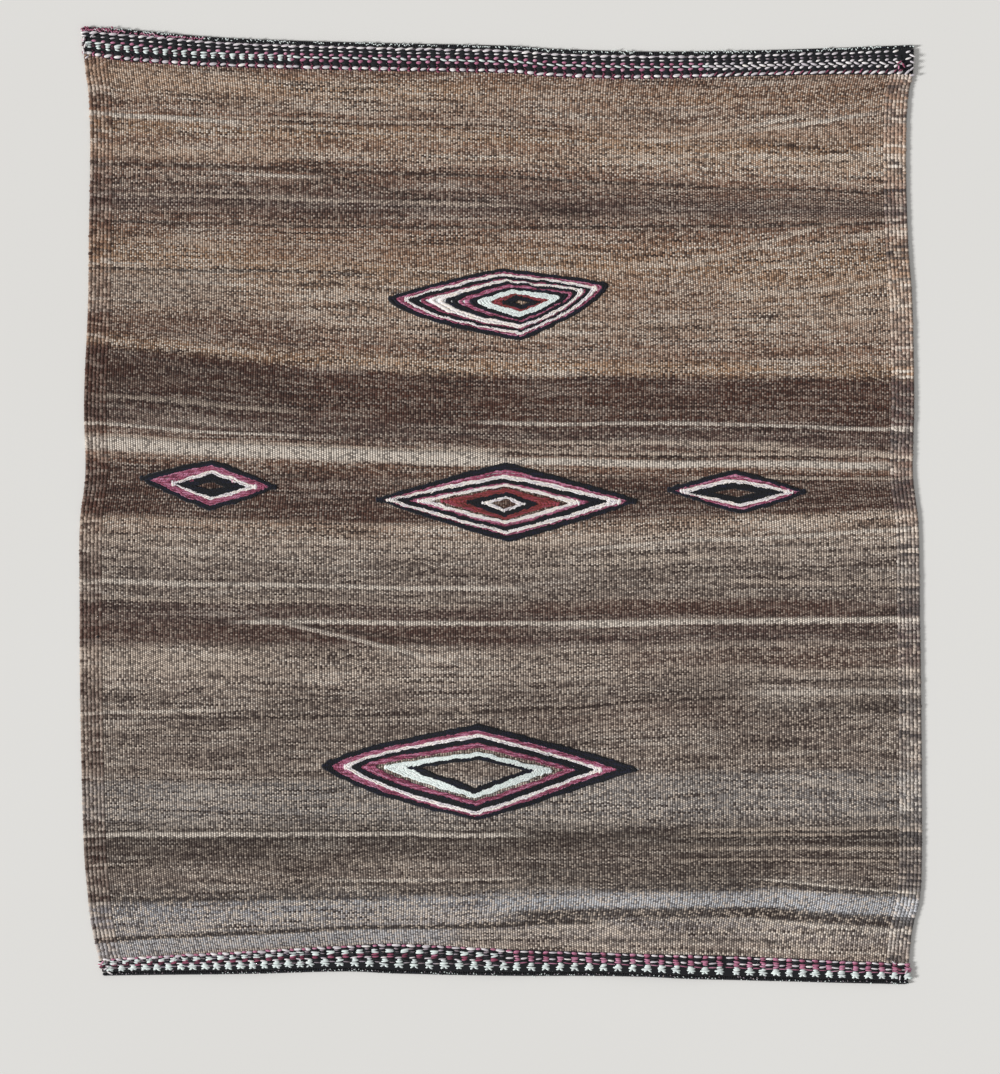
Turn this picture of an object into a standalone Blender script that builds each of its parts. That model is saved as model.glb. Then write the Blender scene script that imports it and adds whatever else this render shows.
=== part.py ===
"""A flat-woven sofreh, the cloth that bread and a meal are laid on, spread on the floor.

It is one length of weft-faced wool and camel hair with corded selvedges. Each end has a chequered
brocaded band and a dark overcast binding, and five lozenges are wrapped on it in rings of coloured
wool. Metres, with +Z up: the weft runs along X and the warp along Y. The origin is the middle of
the cloth, on the floor.
"""

import itertools
import math
from collections import namedtuple

import bmesh
import bpy

MM = 0.001

# The woven ground
WIDTH = 1222 * MM
LENGTH = 1390 * MM
THICKNESS = 3 * MM
FIELD_COLUMNS = 32
FIELD_ROWS = 22

# The selvedges: warps bundled into cords, with the weft turned round them
SELVEDGE_CORDS = 6
CORD_PITCH = 5.5 * MM
CORD_RISE = 0.9 * MM
CORD_END_SLOPE = 9 * MM

# The wools laid on the ground
PIECE_GAP = 0.3 * MM
RING_RELIEF = 1.2 * MM
RING_SHOULDER = 0.14
BINDING_WIDTH = 6 * MM
STRIP_STEPS = 36

# A ring narrows to a sharp tip at left and right, where the gap to the next ring is longer
TIP_GAP = 1.0
APEX_GAP = 0.34

# Each side edge's distance inside the full width, at heights from the middle of the cloth, in mm
SideEdge = namedtuple("SideEdge", "height left right")
SIDE_EDGES = (
    SideEdge(-695, 39, 20),
    SideEdge(-662, 30, 19),
    SideEdge(-610, 18, 13),
    SideEdge(-570, 13, 3),
    SideEdge(-500, 7, 0),
    SideEdge(-280, 1.5, 1),
    SideEdge(-140, 0.7, 3),
    SideEdge(-25, 1, 5),
    SideEdge(45, 9, 13),
    SideEdge(150, 7, 11),
    SideEdge(300, 13, 14),
    SideEdge(385, 14, 20),
    SideEdge(515, 16, 23),
    SideEdge(595, 14, 20),
    SideEdge(632, 9, 12),
    SideEdge(695, 4, 13),
)

# Each end's edge, and the line where its band meets the field, as distances inside the full
# length, at places across the cloth, in mm
EndEdge = namedtuple("EndEdge", "across edge field_line")
TOP_END = (
    EndEdge(-611, 0, 39),
    EndEdge(-570, 2, 47),
    EndEdge(-520, 6, 52),
    EndEdge(-445, 13, 57),
    EndEdge(-362, 18, 60),
    EndEdge(-204, 23, 64),
    EndEdge(17, 28, 68),
    EndEdge(72, 32, 73),
    EndEdge(202, 36, 76),
    EndEdge(342, 35, 73),
    EndEdge(480, 31, 70),
    EndEdge(611, 26, 71),
)
BOTTOM_END = (
    EndEdge(-611, 12, 31),
    EndEdge(-572, 13, 37),
    EndEdge(-362, 16, 50),
    EndEdge(-223, 19, 57),
    EndEdge(-150, 16, 60),
    EndEdge(17, 13, 52),
    EndEdge(202, 12, 46),
    EndEdge(289, 8, 44),
    EndEdge(611, 0, 31),
)

# The low waves of the lower half: where the crest lies at the wave's upper and lower end, the
# half width of the wave and its rise, in mm
Wave = namedtuple("Wave", "upper lower half_width rise")
WAVES = (
    Wave(-385, -370, 150, 5.0),
    Wave(-30, -20, 140, 4.0),
    Wave(290, 225, 135, 7.0),
    Wave(490, 500, 100, 3.5),
)
WAVES_START = -10 * MM
WAVES_FULL = -300 * MM
WAVES_EASE = -560 * MM
WAVES_END_SHARE = 0.55

# Sections of the end pieces: share of the way from the field to the end edge, and height in mm
Profile = namedtuple("Profile", "share height")
BAND_SECTION = (
    Profile(0.00, 0.0),
    Profile(0.00, 0.8),
    Profile(0.12, 1.3),
    Profile(0.24, 0.9),
    Profile(0.45, 1.4),
    Profile(0.62, 0.9),
    Profile(0.84, 1.4),
    Profile(1.00, 0.7),
    Profile(1.00, 0.0),
)
BINDING_SECTION = (
    Profile(0.00, 1.0),
    Profile(0.22, 0.0),
    Profile(0.78, 0.0),
    Profile(1.00, 1.4),
    Profile(0.80, 3.5),
    Profile(0.45, 4.3),
    Profile(0.08, 3.6),
)

# The lozenges. The outer corners and the corners of the plain heart are places on the cloth in mm.
# A bulge is how far a side swells past the straight line from its tip to its apex, in mm, and the
# share of that line, from the tip, where it is fullest.
Corners = namedtuple("Corners", "left top right bottom")
Bulge = namedtuple("Bulge", "swell fullest")
Bulges = namedtuple("Bulges", "upper_left upper_right lower_right lower_left")

# The rings of a lozenge from the outside in: the wool, and the ring's width at each corner in mm
Ring = namedtuple("Ring", "wool left top right bottom")
Lozenge = namedtuple("Lozenge", "name outline heart bulges side_steps rings")

GROUND = "ground"
SLIGHT = Bulge(2, 0.5)

LOZENGES = (
    Lozenge(
        name="top_lozenge",
        outline=Corners((-164, 300), (-2, 343), (156, 321), (29, 240)),
        heart=Corners((19, 295), (26, 299), (46, 293), (29, 290)),
        bulges=Bulges(Bulge(3, 0.4), Bulge(2, 0.3), Bulge(11, 0.35), Bulge(11, 0.35)),
        side_steps=4,
        rings=(
            Ring("navy", 12.6, 3.6, 8.6, 5.0),
            Ring("rose", 11.7, 2.6, 7.8, 3.2),
            Ring("white", 5.5, 3.5, 9.0, 3.2),
            Ring("navy", 13.9, 3.0, 6.4, 2.6),
            Ring("rose", 13.8, 2.4, 3.8, 2.4),
            Ring("white", 24.5, 2.6, 8.0, 5.5),
            Ring("navy", 18.9, 3.5, 7.3, 3.6),
            Ring("rose", 16.7, 4.6, 6.2, 3.3),
            Ring("navy", 12.2, 3.3, 11.9, 4.6),
            Ring("white", 18.9, 5.0, 15.8, 8.0),
            Ring("madder", 16.7, 4.1, 12.9, 3.5),
            Ring("navy", 16.8, 5.7, 11.9, 4.6),
        ),
    ),
    Lozenge(
        name="middle_lozenge",
        outline=Corners((-180, 9), (7, 62), (200, 7), (11, -52)),
        heart=Corners((-14, 4), (8, 11), (26, 2), (5, -5)),
        bulges=Bulges(SLIGHT, SLIGHT, SLIGHT, SLIGHT),
        side_steps=3,
        rings=(
            Ring("navy", 9.4, 8.7, 13.2, 7.7),
            Ring("rose", 4.2, 8.0, 9.4, 2.9),
            Ring("white", 12.8, 6.2, 20.7, 4.8),
            Ring("navy", 18.3, 5.2, 26.2, 4.8),
            Ring("rose", 13.2, 2.9, 13.2, 4.8),
            Ring("white", 18.9, 2.9, 16.7, 4.3),
            Ring(GROUND, 15.1, 2.9, 14.8, 3.0),
            Ring("madder", 37.7, 6.1, 31.6, 3.8),
            Ring("navy", 22.0, 4.9, 17.0, 6.2),
            Ring("white", 14.5, 3.4, 11.9, 3.8),
        ),
    ),
    Lozenge(
        name="left_lozenge",
        outline=Corners((-525, 40), (-419, 66), (-324, 27), (-422, -6)),
        heart=Corners((-446, 28), (-418, 36), (-397, 27), (-419, 24)),
        bulges=Bulges(SLIGHT, SLIGHT, SLIGHT, SLIGHT),
        side_steps=3,
        rings=(
            Ring("navy", 16.0, 7.4, 9.3, 5.4),
            Ring("rose", 29.9, 7.2, 18.7, 8.5),
            Ring("white", 8.0, 5.4, 17.2, 4.8),
            Ring("navy", 24.6, 9.3, 28.7, 11.3),
        ),
    ),
    Lozenge(
        name="right_lozenge",
        outline=Corners((241, 23), (340, 51), (444, 20), (349, -11)),
        heart=Corners((296, 18), (340, 25), (375, 19), (347, 12)),
        bulges=Bulges(SLIGHT, SLIGHT, SLIGHT, SLIGHT),
        side_steps=3,
        rings=(
            Ring("navy", 12.3, 5.5, 9.6, 4.5),
            Ring("rose", 6.2, 6.1, 8.1, 5.1),
            Ring("white", 15.1, 5.5, 13.8, 4.2),
            Ring("navy", 21.2, 8.3, 37.0, 8.8),
        ),
    ),
    Lozenge(
        name="bottom_lozenge",
        outline=Corners((-259, -378), (-33, -317), (201, -382), (-34, -455)),
        heart=Corners((-119, -379), (-31, -367), (37, -384), (-37, -409)),
        bulges=Bulges(Bulge(9, 0.3), Bulge(3, 0.3), Bulge(2, 0.6), Bulge(11, 0.4)),
        side_steps=7,
        rings=(
            Ring("navy", 12.9, 7.8, 31.8, 3.8),
            Ring("rose", 18.6, 5.7, 19.9, 2.9),
            Ring("white", 10.4, 5.4, 12.0, 5.9),
            Ring("navy", 12.0, 7.8, 25.4, 7.8),
            Ring("rose", 22.8, 7.2, 18.1, 5.7),
            Ring(GROUND, 13.2, 7.0, 17.7, 5.4),
            Ring("white", 31.5, 4.6, 26.2, 6.2),
            Ring("navy", 18.0, 4.8, 12.8, 7.8),
        ),
    ),
)

# Colours of the wools
WOOLS = {
    "camel": (0.33, 0.225, 0.14),
    "navy": (0.012, 0.013, 0.03),
    "white": (0.72, 0.70, 0.64),
    "rose": (0.48, 0.09, 0.17),
    "madder": (0.38, 0.07, 0.055),
}


def clear_scene():
    for obj in list(bpy.data.objects):
        bpy.data.objects.remove(obj, do_unlink=True)


def wool_material(wool):
    """The matt finish of one wool."""
    material = bpy.data.materials.new(f"{wool}_wool")
    material.use_nodes = True
    surface = material.node_tree.nodes["Principled BSDF"]
    surface.inputs["Base Color"].default_value = (*WOOLS[wool], 1)
    surface.inputs["Roughness"].default_value = 0.9
    surface.inputs["Metallic"].default_value = 0
    return material


def smooth_step(share):
    """0 before the start and 1 past the end, with an eased rise between."""
    share = min(max(share, 0), 1)
    return share * share * (3 - 2 * share)


def read_table(rows, column, place):
    """A column of a table of mm at a place in metres, on a smooth curve through its rows."""
    places = [row[0] * MM for row in rows]
    values = [getattr(row, column) * MM for row in rows]
    place = min(max(place, places[0]), places[-1])
    last = len(rows) - 1
    start = max(i for i in range(last) if places[i] <= place)
    end = start + 1

    def slope(i):
        before, after = max(i - 1, 0), min(i + 1, last)
        return (values[after] - values[before]) / (places[after] - places[before])

    span = places[end] - places[start]
    t = (place - places[start]) / span
    eased = smooth_step(t)
    leaving = t * (1 - t) ** 2 * span * slope(start)
    arriving = t * t * (1 - t) * span * slope(end)
    return values[start] * (1 - eased) + values[end] * eased + leaving - arriving


def left_edge(y):
    return read_table(SIDE_EDGES, "left", y) - WIDTH / 2


def right_edge(y):
    return WIDTH / 2 - read_table(SIDE_EDGES, "right", y)


def top_edge(x):
    return LENGTH / 2 - read_table(TOP_END, "edge", x)


def top_field_line(x):
    return LENGTH / 2 - read_table(TOP_END, "field_line", x)


def bottom_edge(x):
    return read_table(BOTTOM_END, "edge", x) - LENGTH / 2


def bottom_field_line(x):
    return read_table(BOTTOM_END, "field_line", x) - LENGTH / 2


def cloth_top_end(x):
    """Where the woven ground stops, under the lip of the top binding."""
    return top_edge(x) - BINDING_WIDTH - PIECE_GAP


def cloth_bottom_end(x):
    return bottom_edge(x) + BINDING_WIDTH + PIECE_GAP


def lift(x, y):
    """How far the waves raise the underside of the cloth from the floor."""
    grown = smooth_step((WAVES_START - y) / (WAVES_START - WAVES_FULL))
    eased = smooth_step((WAVES_EASE - y) / (WAVES_EASE + LENGTH / 2))
    strength = grown * (1 - (1 - WAVES_END_SHARE) * eased)
    down = min(max((WAVES_START - y) / (WAVES_START + LENGTH / 2), 0), 1)
    height = 0
    for wave in WAVES:
        crest = wave.upper + (wave.lower - wave.upper) * down
        away = min(abs(x / MM - crest) / wave.half_width, 1)
        height += wave.rise * MM * strength * (1 + math.cos(math.pi * away)) / 2
    return height


def make_object(name, mesh_maker, material):
    """Closes a bmesh into a named object with its faces outwards."""
    bmesh.ops.recalc_face_normals(mesh_maker, faces=mesh_maker.faces)
    mesh = bpy.data.meshes.new(name)
    mesh_maker.to_mesh(mesh)
    mesh_maker.free()
    mesh.shade_smooth()
    mesh.set_sharp_from_angle(angle=math.radians(40))
    mesh.materials.append(material)
    obj = bpy.data.objects.new(name, mesh)
    bpy.context.scene.collection.objects.link(obj)
    return obj


# A lengthwise line of the cloth: its distance in from the left or right edge, or its share of the
# field between the selvedges, with the height of the cord that it runs along
Column = namedtuple("Column", "side inset share rise")


def cloth_columns():
    selvedge = SELVEDGE_CORDS * CORD_PITCH
    cords = [
        (k * CORD_PITCH / 2, CORD_RISE if k % 2 else 0) for k in range(2 * SELVEDGE_CORDS)
    ]
    left = [Column("left", inset, 0, rise) for inset, rise in cords]
    right = [Column("right", inset, 0, rise) for inset, rise in reversed(cords)]
    field = [
        Column("field", selvedge, k / FIELD_COLUMNS, 0) for k in range(FIELD_COLUMNS + 1)
    ]
    return left + field + right


def across(column, y):
    """Where a lengthwise line crosses a height of the cloth."""
    left, right = left_edge(y), right_edge(y)
    if column.side == "left":
        return left + column.inset
    if column.side == "right":
        return right - column.inset
    return left + column.inset + column.share * (right - left - 2 * column.inset)


def field_height(share):
    """A crosswise line of the field, at a share of the way from the bottom band to the top one."""
    return lambda x: bottom_field_line(x) * (1 - share) + top_field_line(x) * share


def cloth_rows():
    """Crosswise lines from the bottom end to the top one, each with its share of the cords' rise."""
    rows = [(cloth_bottom_end, 0), (bottom_field_line, 0)]
    rows.append((lambda x: bottom_field_line(x) + CORD_END_SLOPE, 1))
    rows += [(field_height(k / FIELD_ROWS), 1) for k in range(1, FIELD_ROWS)]
    rows.append((lambda x: top_field_line(x) - CORD_END_SLOPE, 1))
    return rows + [(top_field_line, 0), (cloth_top_end, 0)]


def woven_ground(material):
    """The cloth itself, selvedge to selvedge, with both its faces on the same waves."""
    maker = bmesh.new()
    columns, rows = cloth_columns(), cloth_rows()
    has_underside = [column.side == "field" for column in columns]
    has_underside[0] = has_underside[-1] = True
    top, under = [], []
    for height_at, cord_share in rows:
        top_row, under_row = [], []
        for index, column in enumerate(columns):
            y = height_at(across(column, height_at(0)))
            x = across(column, y)
            raised = lift(x, y)
            z = raised + THICKNESS + column.rise * cord_share
            top_row.append(maker.verts.new((x, y, z)))
            under_row.append(maker.verts.new((x, y, raised)) if has_underside[index] else None)
        top.append(top_row)
        under.append(under_row)
    kept = [i for i, kept_column in enumerate(has_underside) if kept_column]
    for above, below in itertools.pairwise(range(len(rows))):
        for a, b in itertools.pairwise(range(len(columns))):
            maker.faces.new((top[above][a], top[above][b], top[below][b], top[below][a]))
        for a, b in itertools.pairwise(kept):
            maker.faces.new((under[above][a], under[above][b], under[below][b], under[below][a]))
        for side in (0, -1):
            edge = (top[above][side], top[below][side], under[below][side], under[above][side])
            maker.faces.new(edge)
    for end in (0, -1):
        for a, b in itertools.pairwise(kept):
            upper = [top[end][i] for i in range(a, b + 1)]
            maker.faces.new(upper + [under[end][b], under[end][a]])
    return make_object("cloth", maker, material)


def end_strip(name, material, near, far, section, base):
    """A piece that runs across one end of the cloth, from selvedge edge to selvedge edge."""
    maker = bmesh.new()
    loops = []
    for step in range(STRIP_STEPS + 1):
        loop = []
        for share, height in section:
            x = (step / STRIP_STEPS - 0.5) * WIDTH
            y = near(x) + share * (far(x) - near(x))
            x = left_edge(y) + step / STRIP_STEPS * (right_edge(y) - left_edge(y))
            y = near(x) + share * (far(x) - near(x))
            loop.append(maker.verts.new((x, y, lift(x, y) + base + height * MM)))
        loops.append(loop)
    for before, after in itertools.pairwise(loops):
        for a, b in itertools.pairwise(range(len(section) + 1)):
            b %= len(section)
            maker.faces.new((before[a], before[b], after[b], after[a]))
    maker.faces.new(loops[0])
    maker.faces.new(loops[-1])
    return make_object(name, maker, material)


def end_pieces(materials):
    """The chequered band and the overcast binding of each end."""
    on_cloth = THICKNESS + PIECE_GAP
    ends = (
        ("top", top_field_line, cloth_top_end, top_edge, 1),
        ("bottom", bottom_field_line, cloth_bottom_end, bottom_edge, -1),
    )
    for name, field_line, cloth_end, edge, outwards in ends:

        def binding_near(x, edge=edge, outwards=outwards):
            return edge(x) - outwards * BINDING_WIDTH

        end_strip(f"end_band_{name}", materials["white"], field_line, cloth_end, BAND_SECTION, on_cloth)
        end_strip(f"end_binding_{name}", materials["navy"], binding_near, edge, BINDING_SECTION, 0)


def between(start, end, share):
    return tuple(a + (b - a) * share for a, b in zip(start, end))


def bulged_side(tip, apex, bulge, strength, steps):
    """Points from a tip up to, but not at, the apex, on a side that swells outwards."""
    along = (apex[0] - tip[0], apex[1] - tip[1])
    length = math.hypot(*along)
    turn = 1 if (along[0] > 0) == (along[1] > 0) else -1
    outwards = (-turn * along[1] / length, turn * along[0] / length)
    warp = math.log(0.5) / math.log(bulge.fullest)
    points = []
    for step in range(steps + 1):
        t = step / steps
        swell = bulge.swell * strength * math.sin(math.pi * t**warp)
        x, y = between(tip, apex, t)
        points.append((x + outwards[0] * swell, y + outwards[1] * swell))
    return points


def lozenge_loop(lozenge, travelled):
    """The lozenge's outline once each corner has moved its travelled mm towards the heart."""
    totals = [sum(ring[1 + corner] for ring in lozenge.rings) for corner in range(4)]
    shares = [done / total for done, total in zip(travelled, totals)]
    moved = [between(a, b, s) for a, b, s in zip(lozenge.outline, lozenge.heart, shares)]
    left, top, right, bottom = moved
    strength = 1 - sum(shares) / 4
    steps, bulges = lozenge.side_steps, lozenge.bulges
    upper_left = bulged_side(left, top, bulges.upper_left, strength, steps)
    upper_right = bulged_side(right, top, bulges.upper_right, strength, steps)
    lower_right = bulged_side(right, bottom, bulges.lower_right, strength, steps)
    lower_left = bulged_side(left, bottom, bulges.lower_left, strength, steps)
    loop = upper_left[:-1] + upper_right[:0:-1] + lower_right[:-1] + lower_left[:0:-1]
    return [(x * MM, y * MM) for x, y in loop]


def wrapped_ring(name, outer, inner, material):
    """One ring of wrapped wool, a low flat-topped ridge that lies on the ground."""
    maker = bmesh.new()
    quads = []
    for outside, inside in zip(outer, inner):
        corners = (
            (outside, 0),
            (between(outside, inside, RING_SHOULDER), RING_RELIEF),
            (between(inside, outside, RING_SHOULDER), RING_RELIEF),
            (inside, 0),
        )
        quad = []
        for (x, y), height in corners:
            z = lift(x, y) + THICKNESS + PIECE_GAP + height
            quad.append(maker.verts.new((x, y, z)))
        quads.append(quad)
    for before, after in zip(quads, quads[1:] + quads[:1]):
        for a in range(4):
            b = (a + 1) % 4
            maker.faces.new((before[a], before[b], after[b], after[a]))
    return make_object(name, maker, material)


def wrapped_lozenge(lozenge, materials):
    travelled = (0, 0, 0, 0)
    gaps = (TIP_GAP, APEX_GAP, TIP_GAP, APEX_GAP)
    for number, ring in enumerate(lozenge.rings, start=1):
        reached = tuple(done + width for done, width in zip(travelled, ring[1:]))
        if ring.wool != GROUND:
            outer = lozenge_loop(lozenge, travelled)
            inner = lozenge_loop(lozenge, [r - gap for r, gap in zip(reached, gaps)])
            name = f"{lozenge.name}_ring_{number}_{ring.wool}"
            wrapped_ring(name, outer, inner, materials[ring.wool])
        travelled = reached


def make_sofreh():
    clear_scene()
    materials = {wool: wool_material(wool) for wool in WOOLS}
    woven_ground(materials["camel"])
    end_pieces(materials)
    for lozenge in LOZENGES:
        wrapped_lozenge(lozenge, materials)


make_sofreh()
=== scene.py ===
"""The looks of the sofreh: its ribbed camel ground, corded selvedges, chequered end bands, overcast
ends and the lozenges wrapped on it. Metres, +Z up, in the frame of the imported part."""

import itertools
import math
from collections import namedtuple

import bmesh
import bpy
import mathutils
import numpy as np
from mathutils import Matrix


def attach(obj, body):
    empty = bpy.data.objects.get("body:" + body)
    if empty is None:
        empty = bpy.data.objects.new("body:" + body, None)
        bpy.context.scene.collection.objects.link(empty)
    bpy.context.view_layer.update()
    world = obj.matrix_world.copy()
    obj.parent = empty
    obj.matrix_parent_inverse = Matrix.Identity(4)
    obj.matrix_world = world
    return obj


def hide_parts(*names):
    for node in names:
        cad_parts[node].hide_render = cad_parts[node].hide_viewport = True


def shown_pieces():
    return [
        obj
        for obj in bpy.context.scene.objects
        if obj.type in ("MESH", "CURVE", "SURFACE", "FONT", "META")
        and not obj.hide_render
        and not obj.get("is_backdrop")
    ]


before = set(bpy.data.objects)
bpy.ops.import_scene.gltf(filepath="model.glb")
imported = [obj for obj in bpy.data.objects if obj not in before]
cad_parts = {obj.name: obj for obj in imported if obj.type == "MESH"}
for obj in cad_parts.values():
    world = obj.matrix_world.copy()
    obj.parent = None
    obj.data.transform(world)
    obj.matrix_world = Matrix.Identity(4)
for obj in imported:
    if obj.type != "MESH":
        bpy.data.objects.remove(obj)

MM = 0.001
MM_PER_METRE = 1000
SEED = 7

# The woven ground
WIDTH = 1222 * MM
LENGTH = 1390 * MM
THICKNESS = 3 * MM
SELVEDGE_CORDS = 6
CORD_PITCH = 5.5 * MM
SELVEDGE = SELVEDGE_CORDS * CORD_PITCH
BINDING_WIDTH = 6 * MM

# The warp ribs of the field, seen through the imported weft
RIBS = 324
RIB_HEIGHT = 0.55 * MM
RIB_SHOULDERS = (0.27, 0.73)
RIB_UNEVENNESS = 0.07
FIELD_ROWS = 80
CORD_RELIEF = 0.5 * MM
CORD_SHOULDERS = (0.3, 0.7)
UNDERSIDE_STEP = 18

# Each side edge's distance inside the full width, at heights from the middle of the cloth, in mm
SideEdge = namedtuple("SideEdge", "height left right")
SIDE_EDGES = (
    SideEdge(-695, 39, 20),
    SideEdge(-662, 30, 19),
    SideEdge(-610, 18, 13),
    SideEdge(-570, 13, 3),
    SideEdge(-500, 7, 0),
    SideEdge(-280, 1.5, 1),
    SideEdge(-140, 0.7, 3),
    SideEdge(-25, 1, 5),
    SideEdge(45, 9, 13),
    SideEdge(150, 7, 11),
    SideEdge(300, 13, 14),
    SideEdge(385, 14, 20),
    SideEdge(515, 16, 23),
    SideEdge(595, 14, 20),
    SideEdge(632, 9, 12),
    SideEdge(695, 4, 13),
)

# Each end's edge, and the line where its band meets the field, as distances inside the full
# length, at places across the cloth, in mm
EndEdge = namedtuple("EndEdge", "across edge field_line")
TOP_END = (
    EndEdge(-611, 0, 39),
    EndEdge(-570, 2, 47),
    EndEdge(-520, 6, 52),
    EndEdge(-445, 13, 57),
    EndEdge(-362, 18, 60),
    EndEdge(-204, 23, 64),
    EndEdge(17, 28, 68),
    EndEdge(72, 32, 73),
    EndEdge(202, 36, 76),
    EndEdge(342, 35, 73),
    EndEdge(480, 31, 70),
    EndEdge(611, 26, 71),
)
BOTTOM_END = (
    EndEdge(-611, 12, 31),
    EndEdge(-572, 13, 37),
    EndEdge(-362, 16, 50),
    EndEdge(-223, 19, 57),
    EndEdge(-150, 16, 60),
    EndEdge(17, 13, 52),
    EndEdge(202, 12, 46),
    EndEdge(289, 8, 44),
    EndEdge(611, 0, 31),
)

# The low waves of the lower half, in mm
Wave = namedtuple("Wave", "upper lower half_width rise")
WAVES = (
    Wave(-385, -370, 150, 5.0),
    Wave(-30, -20, 140, 4.0),
    Wave(290, 225, 135, 7.0),
    Wave(490, 500, 100, 3.5),
)
WAVES_START = -10 * MM
WAVES_FULL = -300 * MM
WAVES_EASE = -560 * MM
WAVES_END_SHARE = 0.55

# Lines along which the weft runs: the height of each at places across the cloth, in mm. Between
# them the weaver packed in wedges of extra weft, so they aren't parallel.
WEFT_PLACES = (-595, -291, 0, 289, 594)
WeftLine = namedtuple("WeftLine", "far_left left middle right far_right")
WEFT_LINES = (
    WeftLine(-740, -720, -720, -728, -740),
    WeftLine(-664, -641, -643, -652, -663),
    WeftLine(-631, -617, -606, -598, -606),
    WeftLine(-477, -477, -477, -477, -477),
    WeftLine(-308, -306, -298, -279, -274),
    WeftLine(-200, -203, -206, -200, -197),
    WeftLine(-169, -171, -174, -169, -169),
    WeftLine(-11, -22, -26, -14, -5),
    WeftLine(88, 73, 66, 62, 56),
    WeftLine(233, 200, 185, 185, 178),
    WeftLine(345, 339, 322, 310, 330),
    WeftLine(413, 404, 404, 406, 413),
    WeftLine(496, 488, 477, 462, 448),
    WeftLine(656, 633, 627, 620, 624),
    WeftLine(720, 700, 694, 690, 692),
)

# The lozenges, as the construction has them
Corners = namedtuple("Corners", "left top right bottom")
Bulge = namedtuple("Bulge", "swell fullest")
Bulges = namedtuple("Bulges", "upper_left upper_right lower_right lower_left")
Ring = namedtuple("Ring", "wool left top right bottom")
Lozenge = namedtuple("Lozenge", "name outline heart bulges rings")
GROUND = "ground"
SLIGHT = Bulge(2, 0.5)
LOZENGES = (
    Lozenge(
        name="top_lozenge",
        outline=Corners((-164, 300), (-2, 343), (156, 321), (29, 240)),
        heart=Corners((19, 295), (26, 299), (46, 293), (29, 290)),
        bulges=Bulges(Bulge(3, 0.4), Bulge(2, 0.3), Bulge(11, 0.35), Bulge(11, 0.35)),
        rings=(
            Ring("navy", 12.6, 3.6, 8.6, 5.0),
            Ring("rose", 11.7, 2.6, 7.8, 3.2),
            Ring("white", 5.5, 3.5, 9.0, 3.2),
            Ring("navy", 13.9, 3.0, 6.4, 2.6),
            Ring("rose", 13.8, 2.4, 3.8, 2.4),
            Ring("white", 24.5, 2.6, 8.0, 5.5),
            Ring("navy", 18.9, 3.5, 7.3, 3.6),
            Ring("rose", 16.7, 4.6, 6.2, 3.3),
            Ring("navy", 12.2, 3.3, 11.9, 4.6),
            Ring("white", 18.9, 5.0, 15.8, 8.0),
            Ring("madder", 16.7, 4.1, 12.9, 3.5),
            Ring("navy", 16.8, 5.7, 11.9, 4.6),
        ),
    ),
    Lozenge(
        name="middle_lozenge",
        outline=Corners((-180, 9), (7, 62), (200, 7), (11, -52)),
        heart=Corners((-14, 4), (8, 11), (26, 2), (5, -5)),
        bulges=Bulges(SLIGHT, SLIGHT, SLIGHT, SLIGHT),
        rings=(
            Ring("navy", 9.4, 8.7, 13.2, 7.7),
            Ring("rose", 4.2, 8.0, 9.4, 2.9),
            Ring("white", 12.8, 6.2, 20.7, 4.8),
            Ring("navy", 18.3, 5.2, 26.2, 4.8),
            Ring("rose", 13.2, 2.9, 13.2, 4.8),
            Ring("white", 18.9, 2.9, 16.7, 4.3),
            Ring(GROUND, 15.1, 2.9, 14.8, 3.0),
            Ring("madder", 37.7, 6.1, 31.6, 3.8),
            Ring("navy", 22.0, 4.9, 17.0, 6.2),
            Ring("white", 14.5, 3.4, 11.9, 3.8),
        ),
    ),
    Lozenge(
        name="left_lozenge",
        outline=Corners((-525, 40), (-419, 66), (-324, 27), (-422, -6)),
        heart=Corners((-446, 28), (-418, 36), (-397, 27), (-419, 24)),
        bulges=Bulges(SLIGHT, SLIGHT, SLIGHT, SLIGHT),
        rings=(
            Ring("navy", 16.0, 7.4, 9.3, 5.4),
            Ring("rose", 29.9, 7.2, 18.7, 8.5),
            Ring("white", 8.0, 5.4, 17.2, 4.8),
            Ring("navy", 24.6, 9.3, 28.7, 11.3),
        ),
    ),
    Lozenge(
        name="right_lozenge",
        outline=Corners((241, 23), (340, 51), (444, 20), (349, -11)),
        heart=Corners((296, 18), (340, 25), (375, 19), (347, 12)),
        bulges=Bulges(SLIGHT, SLIGHT, SLIGHT, SLIGHT),
        rings=(
            Ring("navy", 12.3, 5.5, 9.6, 4.5),
            Ring("rose", 6.2, 6.1, 8.1, 5.1),
            Ring("white", 15.1, 5.5, 13.8, 4.2),
            Ring("navy", 21.2, 8.3, 37.0, 8.8),
        ),
    ),
    Lozenge(
        name="bottom_lozenge",
        outline=Corners((-259, -378), (-33, -317), (201, -382), (-34, -455)),
        heart=Corners((-119, -379), (-31, -367), (37, -384), (-37, -409)),
        bulges=Bulges(Bulge(9, 0.3), Bulge(3, 0.3), Bulge(2, 0.6), Bulge(11, 0.4)),
        rings=(
            Ring("navy", 12.9, 7.8, 31.8, 3.8),
            Ring("rose", 18.6, 5.7, 19.9, 2.9),
            Ring("white", 10.4, 5.4, 12.0, 5.9),
            Ring("navy", 12.0, 7.8, 25.4, 7.8),
            Ring("rose", 22.8, 7.2, 18.1, 5.7),
            Ring(GROUND, 13.2, 7.0, 17.7, 5.4),
            Ring("white", 31.5, 4.6, 26.2, 6.2),
            Ring("navy", 18.0, 4.8, 12.8, 7.8),
        ),
    ),
)
SIDE_STEPS = 26

# The yarn wrapped round the warps in each ring
WRAP_SPACING = 3.9 * MM
WRAP_LENGTH = 8.4 * MM
WRAP_HEIGHT = 1.9 * MM
WRAP_OVERLAP = 1.05
WIDEST_WRAP = 6.5 * MM
YARN_WIDTH = 2.8 * MM


# Shapes of the cloth


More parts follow.
